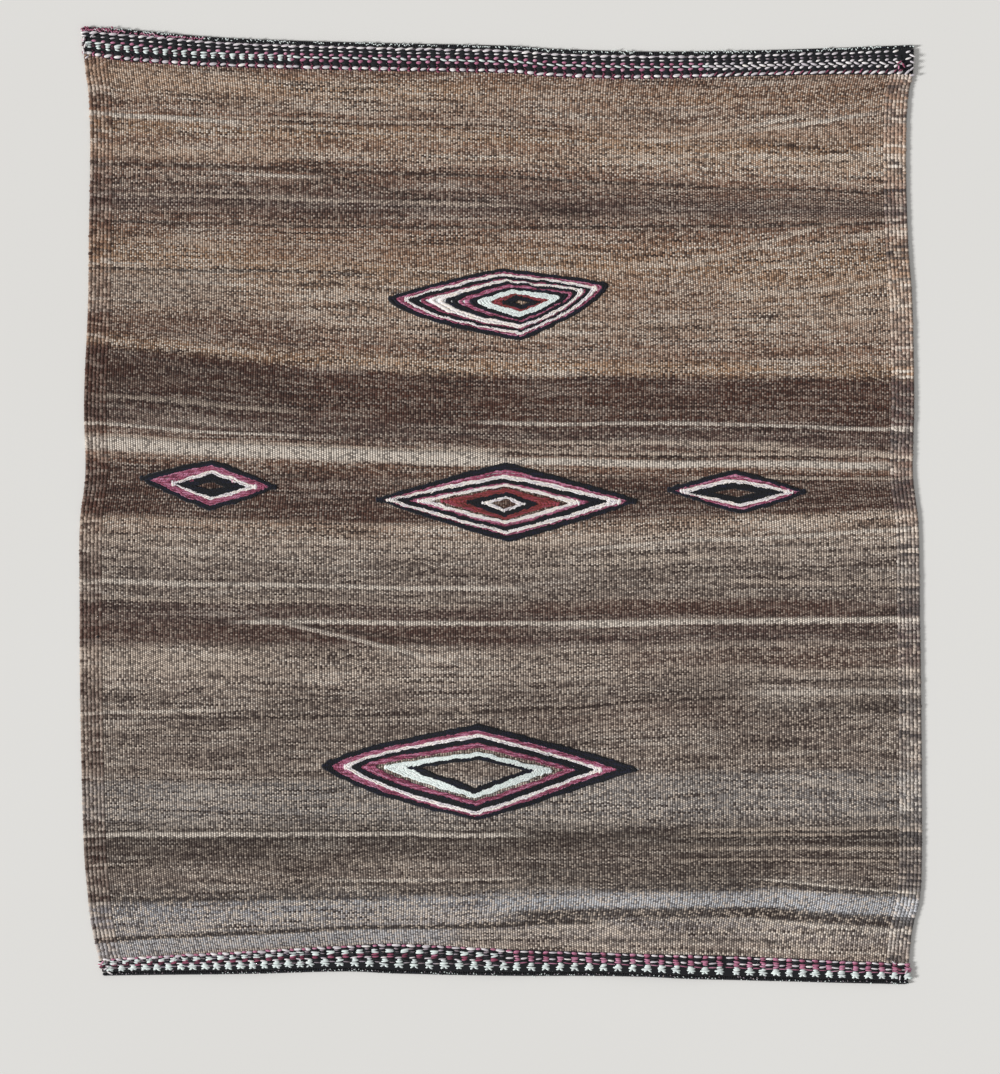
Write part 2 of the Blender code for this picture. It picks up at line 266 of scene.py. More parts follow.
def smooth_step(share):
    share = np.clip(share, 0, 1)
    return share * share * (3 - 2 * share)


def read_table(rows, column, place):
    """A column of a table of mm at places in metres, on a smooth curve through its rows."""
    places = np.array([row[0] for row in rows]) * MM
    values = np.array([getattr(row, column) for row in rows]) * MM
    return smooth_curve(places, values, place)


def smooth_curve(places, values, place):
    count = len(places)
    before = np.maximum(np.arange(count) - 1, 0)
    after = np.minimum(np.arange(count) + 1, count - 1)
    slopes = (values[after] - values[before]) / (places[after] - places[before])
    place = np.clip(place, places[0], places[-1])
    start = np.clip(np.searchsorted(places, place, side="right") - 1, 0, count - 2)
    span = places[start + 1] - places[start]
    t = (place - places[start]) / span
    eased = smooth_step(t)
    leaving = t * (1 - t) ** 2 * span * slopes[start]
    arriving = t * t * (1 - t) * span * slopes[start + 1]
    return values[start] * (1 - eased) + values[start + 1] * eased + leaving - arriving


def left_edge(y):
    return read_table(SIDE_EDGES, "left", y) - WIDTH / 2


def right_edge(y):
    return WIDTH / 2 - read_table(SIDE_EDGES, "right", y)


def top_edge(x):
    return LENGTH / 2 - read_table(TOP_END, "edge", x)


def top_field_line(x):
    return LENGTH / 2 - read_table(TOP_END, "field_line", x)


def bottom_edge(x):
    return read_table(BOTTOM_END, "edge", x) - LENGTH / 2


def bottom_field_line(x):
    return read_table(BOTTOM_END, "field_line", x) - LENGTH / 2


def cloth_top_end(x):
    return top_edge(x) - BINDING_WIDTH


def cloth_bottom_end(x):
    return bottom_edge(x) + BINDING_WIDTH


def lift(x, y):
    """How far the waves raise the underside of the cloth from the floor."""
    grown = smooth_step((WAVES_START - y) / (WAVES_START - WAVES_FULL))
    eased = smooth_step((WAVES_EASE - y) / (WAVES_EASE + LENGTH / 2))
    strength = grown * (1 - (1 - WAVES_END_SHARE) * eased)
    down = np.clip((WAVES_START - y) / (WAVES_START + LENGTH / 2), 0, 1)
    height = 0
    for wave in WAVES:
        crest = wave.upper + (wave.lower - wave.upper) * down
        away = np.minimum(np.abs(x / MM - crest) / wave.half_width, 1)
        height = height + wave.rise * MM * strength * (1 + np.cos(math.pi * away)) / 2
    return height


def weft_place(x, y):
    """Where a point lies along the weaving, in metres: the same all along one weft."""
    places = np.array(WEFT_PLACES) * MM
    lines = np.array(WEFT_LINES) * MM
    heights = np.stack([smooth_curve(places, line, x) for line in lines])
    labels = np.array([line.middle for line in WEFT_LINES]) * MM
    found = np.clip((heights <= y).sum(0) - 1, 0, len(lines) - 2)
    low = np.take_along_axis(heights, found[None], 0)[0]
    high = np.take_along_axis(heights, found[None] + 1, 0)[0]
    return labels[found] + (labels[found + 1] - labels[found]) * (y - low) / (high - low)


# Node graphs


class Link:
    """A node's output that Python's operators work on: an expression adds its Math nodes."""

    def __init__(self, graph, socket):
        self.graph, self.socket = graph, socket

    def math(self, operation, *others):
        values = dict(enumerate((self, *others)))
        return self.graph.add("ShaderNodeMath", {"operation": operation}, values)

    def before(self, operation, first):
        return self.graph.add("ShaderNodeMath", {"operation": operation}, {0: first, 1: self})

    def __add__(self, other):
        return self.math("ADD", other)

    def __sub__(self, other):
        return self.math("SUBTRACT", other)

    def __rsub__(self, other):
        return self.before("SUBTRACT", other)

    def __mul__(self, other):
        return self.math("MULTIPLY", other)

    def __truediv__(self, other):
        return self.math("DIVIDE", other)

    def __rtruediv__(self, other):
        return self.before("DIVIDE", other)

    def __gt__(self, other):
        return self.math("GREATER_THAN", other)

    def __lt__(self, other):
        return self.math("LESS_THAN", other)

    __radd__ = __add__
    __rmul__ = __mul__

    def floor(self):
        return self.math("FLOOR")

    def fract(self):
        return self.math("FRACT")

    def abs(self):
        return self.math("ABSOLUTE")

    def smooth(self, start, end):
        """0 before start and 1 past end, with an eased rise between."""
        values = {"Value": self, "From Min": start, "From Max": end}
        return self.graph.add("ShaderNodeMapRange", {"interpolation_type": "SMOOTHSTEP"}, values)


class Graph:
    """A node tree that is built up with one method."""

    def __init__(self, tree):
        self.tree = tree

    def add(self, kind, settings=None, values=None, out=0):
        """Adds a node, with its settings and its inputs, and gives one of its outputs."""
        node = self.node(kind, settings, values)
        return Link(self, node.outputs[out])

    def node(self, kind, settings=None, values=None):
        node = self.tree.nodes.new(kind)
        for name, value in (settings or {}).items():
            if name == "stops":
                set_stops(node.color_ramp, value)
            else:
                setattr(node, name, value)
        for key, value in (values or {}).items():
            if isinstance(value, Link):
                self.tree.links.new(value.socket, node.inputs[key])
            else:
                node.inputs[key].default_value = value
        return node

    def mix(self, start, end, share):
        """One colour turned into another by a share."""
        return self.add("ShaderNodeMix", {"data_type": "RGBA"}, {0: share, 6: start, 7: end}, out=2)

    def vector(self, x, y, z=0.0):
        return self.add("ShaderNodeCombineXYZ", None, {0: x, 1: y, 2: z})

    def parts(self, vector):
        """The X, Y and Z of a vector."""
        node = self.node("ShaderNodeSeparateXYZ", None, {0: vector})
        return [Link(self, socket) for socket in node.outputs]

    def place(self):
        """Where a point lies across, along and over the cloth, in metres."""
        return self.parts(self.add("ShaderNodeTexCoord", out="Object"))

    def carried(self, name, out="Fac"):
        """What each point or stitch carries under a name."""
        return self.add("ShaderNodeAttribute", {"attribute_name": name}, out=out)

    def noise(self, x, y, detail=2.0, roughness=0.5, seed=0.0):
        """Smooth noise, about 0 to 1, over two coordinates that are scaled already."""
        values = {"Vector": self.vector(x, y, seed), "Scale": 1.0, "Detail": detail, "Roughness": roughness}
        return self.add("ShaderNodeTexNoise", {"noise_dimensions": "3D"}, values)

    def chance(self, x, y, seed=0.0):
        """A random number for each whole step of two coordinates."""
        values = {"Vector": self.vector(x, y, seed)}
        return self.add("ShaderNodeTexWhiteNoise", {"noise_dimensions": "3D"}, values)


def set_stops(ramp, stops):
    """Stops of a colour ramp: places from 0 to 1 and their colours."""
    while len(ramp.elements) > 1:
        ramp.elements.remove(ramp.elements[-1])
    ramp.elements[0].position, ramp.elements[0].color = stops[0]
    for place, colour in stops[1:]:
        ramp.elements.new(place).color = colour


def shade(red, green, blue):
    """A wool's colour, from its red, green and blue as seen, 0 to 255."""

    def light(value):
        value /= 255
        return value / 12.92 if value <= 0.04045 else ((value + 0.055) / 1.055) ** 2.4

    return (light(red), light(green), light(blue), 1.0)


# The wools as seen
PALE_FLEECE = shade(222, 204, 186)
CREAM = shade(240, 228, 214)
PALE_CAMEL = shade(206, 174, 148)
GOLDEN_CAMEL = shade(188, 150, 118)
SANDY_CAMEL = shade(180, 150, 128)
CAMEL_BROWN = shade(150, 112, 90)
DARK_BROWN = shade(88, 56, 44)
RUST_BROWN = shade(84, 48, 34)
PURPLE_BROWN = shade(100, 78, 71)
SHADE_BROWN = shade(44, 29, 24)
GREY_BEIGE = shade(170, 153, 140)
GREY_BROWN = shade(137, 122, 112)
OLIVE_GREY = shade(134, 125, 118)
OLIVE_BROWN = shade(54, 46, 42)
ASH = shade(158, 152, 148)
SILVER = shade(186, 187, 192)
BLUE_SILVER = shade(208, 210, 215)
WHITE = shade(240, 235, 234)
MINT_WHITE = shade(228, 240, 235)
NAVY = shade(14, 18, 40)
NAVY_BLACK = shade(6, 7, 14)
ROSE = shade(152, 72, 98)
FADED_ROSE = shade(196, 134, 162)
WINE = shade(80, 32, 50)
MADDER = shade(138, 54, 52)
MADDER_SHADE = shade(72, 34, 30)
STONE_GREY = shade(164, 152, 164)

# The ground's main tones along the weaving, from the top end down: where each starts, in mm
Band = namedtuple("Band", "along wool")
GROUND_BANDS = (
    Band(700, GOLDEN_CAMEL),
    Band(622, CAMEL_BROWN),
    Band(600, GOLDEN_CAMEL),
    Band(575, SANDY_CAMEL),
    Band(555, CAMEL_BROWN),
    Band(530, GOLDEN_CAMEL),
    Band(505, PALE_CAMEL),
    Band(488, CAMEL_BROWN),
    Band(432, PURPLE_BROWN),
    Band(398, CAMEL_BROWN),
    Band(350, GOLDEN_CAMEL),
    Band(262, SANDY_CAMEL),
    Band(218, CAMEL_BROWN),
    Band(206, GOLDEN_CAMEL),
    Band(196, GOLDEN_CAMEL),
    Band(184, RUST_BROWN),
    Band(130, RUST_BROWN),
    Band(100, PURPLE_BROWN),
    Band(60, CAMEL_BROWN),
    Band(36, DARK_BROWN),
    Band(-24, DARK_BROWN),
    Band(-31, SANDY_CAMEL),
    Band(-70, GREY_BEIGE),
    Band(-100, GREY_BROWN),
    Band(-142, GREY_BROWN),
    Band(-149, PURPLE_BROWN),
    Band(-200, PURPLE_BROWN),
    Band(-212, GREY_BEIGE),
    Band(-252, GREY_BEIGE),
    Band(-270, GREY_BROWN),
    Band(-390, GREY_BROWN),
    Band(-400, ASH),
    Band(-446, ASH),
    Band(-462, OLIVE_GREY),
    Band(-478, OLIVE_BROWN),
    Band(-534, GREY_BROWN),
    Band(-556, OLIVE_GREY),
    Band(-568, SILVER),
    Band(-640, GREY_BEIGE),
)

# Wefts that stand out: where each lies along the weaving, how much it rises on its way, how wide
# it is and how far it runs across the cloth, in mm, with its strength
Streak = namedtuple("Streak", "along rise width start end wool strength")
STREAKS = (
    Streak(603, -4, 4, 330, 480, SHADE_BROWN, 0.6),
    Streak(584, 3, 3, 202, 275, CREAM, 0.85),
    Streak(560, 25, 5, 230, 335, DARK_BROWN, 0.6),
    Streak(546, 24, 4, 275, 404, CREAM, 0.85),
    Streak(557, 20, 4, 376, 520, CREAM, 0.9),
    Streak(512, 12, 3, 100, 580, PALE_FLEECE, 0.7),
    Streak(598, 0, 26, -620, -380, PALE_CAMEL, 0.5),
    Streak(552, 0, 20, 150, 620, PALE_CAMEL, 0.4),
    Streak(494, 0, 16, -620, -340, PALE_CAMEL, 0.5),
    Streak(595, 0, 30, 0, 620, CAMEL_BROWN, 0.4),
    Streak(547, -4, 5, -620, -400, CREAM, 0.95),
    Streak(550, 4, 3, -400, 0, PALE_FLEECE, 0.7),
    Streak(546, 4, 3, -300, 0, SHADE_BROWN, 0.6),
    Streak(512, 6, 14, -560, 100, CAMEL_BROWN, 0.6),
    Streak(477, 0, 4, -620, 620, SHADE_BROWN, 0.75),
    Streak(479, -27, 4, -290, -154, SHADE_BROWN, 0.6),
    Streak(469, 0, 3, -380, -290, CREAM, 0.7),
    Streak(441, -6, 3, -520, 0, PALE_FLEECE, 0.6),
    Streak(404, 0, 4, -620, 620, SHADE_BROWN, 0.75),
    Streak(255, 141, 4, 0, 579, PALE_FLEECE, 0.55),
    Streak(360, 38, 4, 289, 456, PALE_FLEECE, 0.6),
    Streak(314, 5, 4, 289, 594, PALE_FLEECE, 0.6),
    Streak(358, 0, 26, -340, -40, CAMEL_BROWN, 0.5),
    Streak(322, 0, 4, -620, -230, SHADE_BROWN, 0.8),
    Streak(312, 0, 50, 60, 300, CAMEL_BROWN, 0.4),
    Streak(290, 0, 44, -620, -420, GREY_BEIGE, 0.5),
    Streak(228, 0, 45, -620, -300, DARK_BROWN, 0.5),
    Streak(126, 0, 4, -560, -330, PALE_FLEECE, 0.7),
    Streak(150, 0, 60, -620, -330, SHADE_BROWN, 0.35),
    Streak(120, 0, 4, 0, 620, CREAM, 0.75),
    Streak(92, 0, 3, -620, -330, CREAM, 0.8),
    Streak(94, 0, 4, 60, 380, PALE_FLEECE, 0.75),
    Streak(88, -10, 5, 380, 620, PALE_FLEECE, 0.75),
    Streak(79, 0, 3, -620, 460, PALE_FLEECE, 0.7),
    Streak(75, 0, 3, -620, 460, SHADE_BROWN, 0.8),
    Streak(68, 0, 14, -620, -40, CREAM, 0.95),
    Streak(64, 0, 9, -90, 530, CREAM, 0.98),
    Streak(40, 0, 4, 300, 620, PALE_FLEECE, 0.7),
    Streak(-56, 0, 4, -620, 145, PALE_FLEECE, 0.5),
    Streak(-66, 14, 4, 145, 600, CREAM, 0.8),
    Streak(-44, 10, 3, 320, 566, PALE_FLEECE, 0.6),
    Streak(-77, 10, 3, 145, 460, SHADE_BROWN, 0.6),
    Streak(-85, 4, 3, 145, 620, PALE_FLEECE, 0.55),
    Streak(-99, 0, 3, 145, 620, SHADE_BROWN, 0.6),
    Streak(-119, 0, 5, -620, 0, CREAM, 0.8),
    Streak(-118, -7, 4, 349, 585, PALE_FLEECE, 0.6),
    Streak(-142, -3, 3, -600, -60, PALE_FLEECE, 0.6),
    Streak(-149, -6, 18, 60, 475, DARK_BROWN, 0.7),
    Streak(-188, 0, 22, -620, 0, DARK_BROWN, 0.5),
    Streak(-172, 0, 5, -350, 145, CREAM, 0.85),
    Streak(-176, 5, 6, 145, 620, CREAM, 0.9),
    Streak(-173, -51, 5, -315, -83, CREAM, 0.6),
    Streak(-177, -21, 5, -276, -117, SHADE_BROWN, 0.7),
    Streak(-231, 0, 22, -620, -380, PALE_FLEECE, 0.4),
    Streak(-229, 0, 24, 200, 620, DARK_BROWN, 0.6),
    Streak(-245, 0, 10, 400, 620, DARK_BROWN, 0.6),
    Streak(-256, 0, 4, 400, 620, PALE_FLEECE, 0.6),
    Streak(-273, 0, 4, 400, 620, SHADE_BROWN, 0.6),
    Streak(-292, 0, 8, 400, 620, CREAM, 0.6),
    Streak(-310, 0, 16, 400, 620, OLIVE_BROWN, 0.45),
    Streak(-318, 0, 30, 50, 330, DARK_BROWN, 0.25),
    Streak(-293, 4, 3, -620, -440, CREAM, 0.7),
    Streak(-298, 0, 4, -440, 320, SHADE_BROWN, 0.8),
    Streak(-436, -13, 3, -560, -290, SHADE_BROWN, 0.5),
    Streak(-470, 0, 4, 300, 620, PALE_FLEECE, 0.6),
    Streak(-477, 0, 5, -620, 0, CREAM, 0.85),
    Streak(-478, 0, 3, 300, 500, PALE_FLEECE, 0.6),
    Streak(-498, 0, 4, 300, 620, PALE_FLEECE, 0.6),
    Streak(-511, 0, 3, 300, 620, SHADE_BROWN, 0.7),
    Streak(-515, 0, 3, 300, 540, PALE_FLEECE, 0.6),
    Streak(-519, 0, 3, 380, 620, SHADE_BROWN, 0.6),
    Streak(-535, 0, 28, 50, 380, OLIVE_BROWN, 0.6),
    Streak(-541, 0, 3, -220, 0, CREAM, 0.7),
    Streak(-546, 0, 4, -240, 0, SHADE_BROWN, 0.6),
    Streak(-555, -8, 5, -620, -200, OLIVE_BROWN, 0.75),
    Streak(-548, -14, 3, 400, 600, CREAM, 0.9),
    Streak(-553, -14, 6, 400, 600, OLIVE_BROWN, 0.7),
    Streak(-580, -9, 26, 420, 620, BLUE_SILVER, 0.95),
    Streak(-558, 0, 10, 170, 340, OLIVE_BROWN, 0.7),
    Streak(-580, 0, 17, 10, 430, BLUE_SILVER, 0.85),
    Streak(-597, -8, 13, 380, 620, OLIVE_BROWN, 0.85),
    Streak(-596, 0, 13, 50, 400, OLIVE_BROWN, 0.85),
    Streak(-628, 0, 3, 170, 400, OLIVE_BROWN, 0.6),
    Streak(-607, -8, 4, 380, 620, CREAM, 0.7),
    Streak(-622, 0, 26, -620, -100, BLUE_SILVER, 0.65),
    Streak(-607, 0, 6, -620, 120, OLIVE_BROWN, 0.9),
)
STREAK_FADE = 60


def finished(name, graph_maker):
    """A material whose graph is made by a function of the graph and its surface shader."""
    material = bpy.data.materials.new(name)
    material.use_nodes = True
    graph = Graph(material.node_tree)
    surface = material.node_tree.nodes["Principled BSDF"]
    surface.inputs["Metallic"].default_value = 0
    surface.inputs["Specular IOR Level"].default_value = 0.25
    surface.inputs["Sheen Weight"].default_value = 0.12
    surface.inputs["Sheen Roughness"].default_value = 0.6
    graph_maker(graph, surface)
    return material


def feed(graph, surface, **sockets):
    for name, link in sockets.items():
        graph.tree.links.new(link.socket, surface.inputs[name.replace("_", " ")])


def band_colour(graph, line):
    """The ground's bands, at a place along the weaving in mm."""
    half = len(GROUND_BANDS) // 2
    upper, lower = GROUND_BANDS[: half + 1], GROUND_BANDS[half:]
    parts = []
    for bands in (upper, lower):
        start, end = bands[0].along, bands[-1].along
        stops = [((start - band.along) / (start - end), band.wool) for band in bands]
        place = (start - line) / (start - end)
        parts.append(graph.add("ShaderNodeValToRGB", {"stops": stops}, {"Fac": place}))
    return graph.mix(parts[0], parts[1], line < upper[-1].along)


def with_streaks(graph, colour, x, line):
    """A colour with the streaks over it, at a place across and along the weaving in mm."""
    for streak in STREAKS:
        half, middle = (streak.end - streak.start) / 2, (streak.start + streak.end) / 2
        away = line - (streak.along + streak.rise / 2)
        if streak.rise:
            away = away - (x - middle) * (streak.rise / half / 2)
        share = away.abs().smooth(streak.width * 0.85, streak.width * 0.35) * streak.strength
        if half < WIDTH / MM / 2:
            share = share * (x - middle).abs().smooth(half + STREAK_FADE, half)
        colour = graph.mix(colour, streak.wool, share)
    return colour


# How far the beads scatter over the border of a band and of a streak, how far the wefts' own
# streaks lean and how far the wefts sway, in mm
BAND_SCATTER = 4
STREAK_SCATTER = 1.5
LEAN = 26
SWAY = 8

# How long a bead of weft and a turn of the selvedge are, along the cloth, in mm
BEAD_MM = 2.5
TURN_MM = 4.3


def spun_colour(graph, x, line, weft, luck):
    """The ground's colour on one bead of weft, with the fibres' own differences: those between
    one weft and the next, which run along it, and those between one bead and the next."""
    colour = band_colour(graph, line + (luck - 0.5) * BAND_SCATTER)
    lean = (graph.noise(x * 0.004, line * 0.01, 1.0, 0.5, 83.0) - 0.5) * LEAN
    broad = graph.noise(x * 0.003, (line + lean) * 0.09, 2.0, 0.55, 11.0)
    thread = graph.noise(x * 0.006, weft * 0.42 + lean * 0.35, 2.0, 0.6, 23.0)
    tone = graph.node("ShaderNodeSeparateColor", None, {0: colour})
    paleness = 0.2 + 1.5 * Link(graph, tone.outputs[0])
    colour = graph.mix(colour, PALE_FLEECE, broad.smooth(0.5, 0.7) * 0.55 * paleness)
    colour = graph.mix(colour, SHADE_BROWN, broad.smooth(0.5, 0.28) * 0.4)
    colour = graph.mix(colour, CREAM, thread.smooth(0.51, 0.64) * 0.95 * paleness)
    colour = graph.mix(colour, SHADE_BROWN, thread.smooth(0.48, 0.34) * 0.9)
    colour = with_streaks(graph, colour, x, line + (luck - 0.5) * STREAK_SCATTER)
    colour = graph.mix(colour, PALE_FLEECE, luck.smooth(0.5, 1.0) * 0.8 * paleness)
    return graph.mix(colour, SHADE_BROWN, luck.smooth(0.5, 0.0) * 0.7)


def camel_graph(graph, surface):
    """Weft-faced camel ground: beads of weft over ribs, speckled and streaked, with painted shade in the
    rib creases and between the beads.
    """
    x = graph.place()[0] * MM_PER_METRE
    rib_line, along, _ = graph.parts(graph.add("ShaderNodeUVMap", {"uv_map": "weave"}))
    rib = (rib_line + 0.5).floor()
    odd = (rib * 0.5).fract() * 2
    beside = (rib_line - rib).abs() * 2
    sway = graph.noise(x * 0.006, along * 0.02, 1.0, 0.5, 31.0) * SWAY
    line = along + sway - SWAY / 2
    pick_line = line / BEAD_MM + odd * 0.5
    pick = pick_line.floor()
    beyond = (pick_line - pick - 0.5).abs() * 2
    luck = graph.chance(rib, pick, 1.0)
    colour = spun_colour(graph, x, line, pick * 2 + odd, luck)
    # Painted shade: the creases between ribs and the gaps between beads are darkened towards shade brown.
    painted_crease_shade = beside.smooth(0.4, 1.0) * (0.3 + 0.42 * graph.chance(rib_line.floor(), pick, 9.0))
    painted_gap_shade = beyond.smooth(0.35, 1.0) * 0.6
    colour = graph.mix(colour, SHADE_BROWN, painted_crease_shade)
    colour = graph.mix(colour, SHADE_BROWN, painted_gap_shade)
    height = (1 - beyond * beyond) * 0.7 + (1 - beside * beside) + luck * 0.4
    bump = graph.add("ShaderNodeBump", None, {"Strength": 0.8, "Distance": 0.0006, "Height": height})
    feed(graph, surface, Base_Color=colour, Roughness=0.84 + 0.1 * luck, Normal=bump)


def selvedge_graph(graph, surface):
    """The same wools turned round the bundled warps of the selvedge, one bead to each turn."""
    x, y, _ = graph.place()
    x, y = x * MM_PER_METRE, y * MM_PER_METRE
    tone, along = graph.carried("tone"), graph.carried("along")
    colour = spun_colour(graph, x, along, (along / TURN_MM).floor() * 2, tone)
    fibre = graph.noise(x * 1.4, y * 4.0, 2.0, 0.6, 41.0)
    colour = graph.mix(colour, SHADE_BROWN, fibre.smooth(0.5, 0.25) * 0.5)
    colour = graph.mix(colour, SILVER, (x > 0.0) * 0.08)
    colour = graph.mix(colour, DARK_BROWN, (x < 0.0) * 0.3)
    bump = graph.add("ShaderNodeBump", None, {"Strength": 0.7, "Distance": 0.0005, "Height": fibre})
    feed(graph, surface, Base_Color=colour, Roughness=0.84 + 0.1 * fibre, Normal=bump)


Wool = namedtuple("Wool", "slot main light dark light_share dark_share")
WOOLS = {
    "navy": Wool("navy_wool", NAVY_BLACK, NAVY, NAVY_BLACK, 0.9, 0.4),
    "white": Wool("white_wool", WHITE, CREAM, STONE_GREY, 0.7, 0.6),
    "mint": Wool("white_wool", MINT_WHITE, WHITE, STONE_GREY, 0.4, 0.3),
    "rose": Wool("rose_wool", ROSE, FADED_ROSE, WINE, 0.85, 0.85),
    "pink": Wool("rose_wool", FADED_ROSE, CREAM, ROSE, 0.45, 0.6),
    "wine": Wool("rose_wool", WINE, ROSE, NAVY_BLACK, 0.35, 0.7),
    "madder": Wool("madder_wool", MADDER, ROSE, MADDER_SHADE, 0.6, 0.8),
    "grey": Wool("white_wool", STONE_GREY, CREAM, PURPLE_BROWN, 0.6, 0.5),
}


def yarn_graph(wool):
    """Plied wool: its own tone for each stitch, twist along the yarn and faded patches."""

    def make(graph, surface):
        x, y, _ = graph.place()
        x, y = x * MM_PER_METRE, y * MM_PER_METRE
        tone, ply = graph.carried("tone"), graph.carried("ply")
        run, across, _ = graph.parts(graph.carried("lie", "Vector"))
        patch = graph.noise(x * 0.035, y * 0.4, 2.0, 0.6, 51.0)
        fibre = graph.noise(run * 3.0 + tone * 40, across * 9.0 + run * 5.0, 2.0, 0.6, 61.0)
        mixed = patch + (tone - 0.5) * 0.2 + (ply - 0.5) * 0.2
        colour = graph.mix(wool.main, wool.light, mixed.smooth(0.5, 0.66) * wool.light_share)
        colour = graph.mix(colour, wool.dark, mixed.smooth(0.48, 0.34) * wool.dark_share)
        colour = graph.mix(colour, wool.dark, fibre.smooth(0.48, 0.25) * 0.55)
        bump = graph.add("ShaderNodeBump", None, {"Strength": 0.6, "Distance": 0.0004, "Height": fibre})
        feed(graph, surface, Base_Color=colour, Roughness=0.82 + 0.12 * fibre, Normal=bump)

    return make


# Stitches laid by Geometry Nodes

PILL_SIDES = 5
PILL_RINGS = 4
CORE_SIDES = 6
CORE_SECTION = (1.0, 0.4, 1.0)
# The core, seen between the stitches, carries a darker tone than most stitches: painted shade in the gaps.
CORE_SHADE_TONE = 0.35


def start_tree(name, inputs):
    """A Geometry Nodes tree with named inputs: its graph, its links to the inputs and its output."""
    tree = bpy.data.node_groups.new(name, "GeometryNodeTree")
    face = tree.interface
    face.new_socket("Geometry", in_out="INPUT", socket_type="NodeSocketGeometry")
    for label, kind, value in inputs:
        socket = face.new_socket(label, in_out="INPUT", socket_type=f"NodeSocket{kind}")
        if value is not None:
            socket.default_value = value
    face.new_socket("Geometry", in_out="OUTPUT", socket_type="NodeSocketGeometry")
    graph = Graph(tree)
    given = graph.node("NodeGroupInput")
    return graph, {socket.name: Link(graph, socket) for socket in given.outputs if socket.name}


def own_number(graph, name):
    """A number that each point of the path carries."""
    return graph.add("GeometryNodeInputNamedAttribute", {"data_type": "FLOAT"}, {"Name": name})


def random_between(graph, low, high, seed, offset):
    """A random number for each stitch: each use of the tree's seed has its own offset."""
    values = {2: low, 3: high, "Seed": seed + offset}
    return graph.add("FunctionNodeRandomValue", {"data_type": "FLOAT"}, values, 1)


def pill_of_yarn(graph):
    """One stitch of unit size along X, which carries where each of its points lies on the yarn."""
    values = {"Segments": PILL_SIDES, "Rings": PILL_RINGS, "Radius": 0.5}
    ball = graph.add("GeometryNodeMeshUVSphere", None, values)
    values = {"Geometry": ball, "Rotation": (0, math.pi / 2, 0)}
    lying = graph.add("GeometryNodeTransform", None, values)
    values = {"Geometry": lying, "Name": "lie", "Value": graph.add("GeometryNodeInputPosition")}
    settings = {"data_type": "FLOAT_VECTOR", "domain": "POINT"}
    return graph.add("GeometryNodeStoreNamedAttribute", settings, values)


def lay_stitches(graph, given, points, rotation, length, width):
    """Puts a pill of yarn on each point, each a little different, and makes them real."""
    seed, uneven = given["Seed"], given["Unevenness"]
    turn = random_between(graph, -1.0, 1.0, seed, 1) * given["Turn"]
    wobble = graph.vector(0.0, 0.0, turn + given["Slant"])
    spin = graph.add("FunctionNodeEulerToRotation", None, {0: wobble})
    rotation = graph.add("FunctionNodeRotateRotation", {"rotation_space": "LOCAL"}, {0: rotation, 1: spin})
    longer = 1 + random_between(graph, -1.0, 1.0, seed, 2) * uneven
    wider = 1 + random_between(graph, -1.0, 1.0, seed, 3) * uneven
    size = graph.vector(length * longer, width * wider, given["Height"])
    aside = random_between(graph, -1.0, 1.0, seed, 4) * given["Drift"]
    shift = graph.vector(aside, random_between(graph, -1.0, 1.0, seed, 5) * given["Drift"])
    points = graph.add("GeometryNodeSetPosition", None, {"Geometry": points, "Offset": shift})
    values = {"Points": points, "Instance": pill_of_yarn(graph), "Rotation": rotation, "Scale": size}
    laid = graph.add("GeometryNodeInstanceOnPoints", None, values)
    values = {"Geometry": laid, "Name": "tone", "Value": random_between(graph, 0.0, 1.0, seed, 6)}
    settings = {"data_type": "FLOAT", "domain": "INSTANCE"}
    laid = graph.add("GeometryNodeStoreNamedAttribute", settings, values)
    return graph.add("GeometryNodeRealizeInstances", None, {"Geometry": laid})


def end_tree(graph, given, shape):
    shape = graph.add("GeometryNodeSetShadeSmooth", None, {"Geometry": shape})
    shape = graph.add("GeometryNodeSetMaterial", None, {"Geometry": shape, "Material": given["Wool"]})
    graph.node("NodeGroupOutput", None, {0: shape})
    return graph.tree


STITCH_INPUTS = (
    ("Height", "Float", 0.002),
    ("Slant", "Float", 0.0),
    ("Turn", "Float", 0.1),
    ("Unevenness", "Float", 0.12),
    ("Drift", "Float", 0.0002),
    ("Seed", "Int", SEED),
    ("Wool", "Material", None),
)
WRAPPING_INPUTS = (
    ("Spacing", "Float", 0.0035),
    ("Length", "Float", 0.007),
    ("Core", "Float", 1.0),
    *STITCH_INPUTS,
)


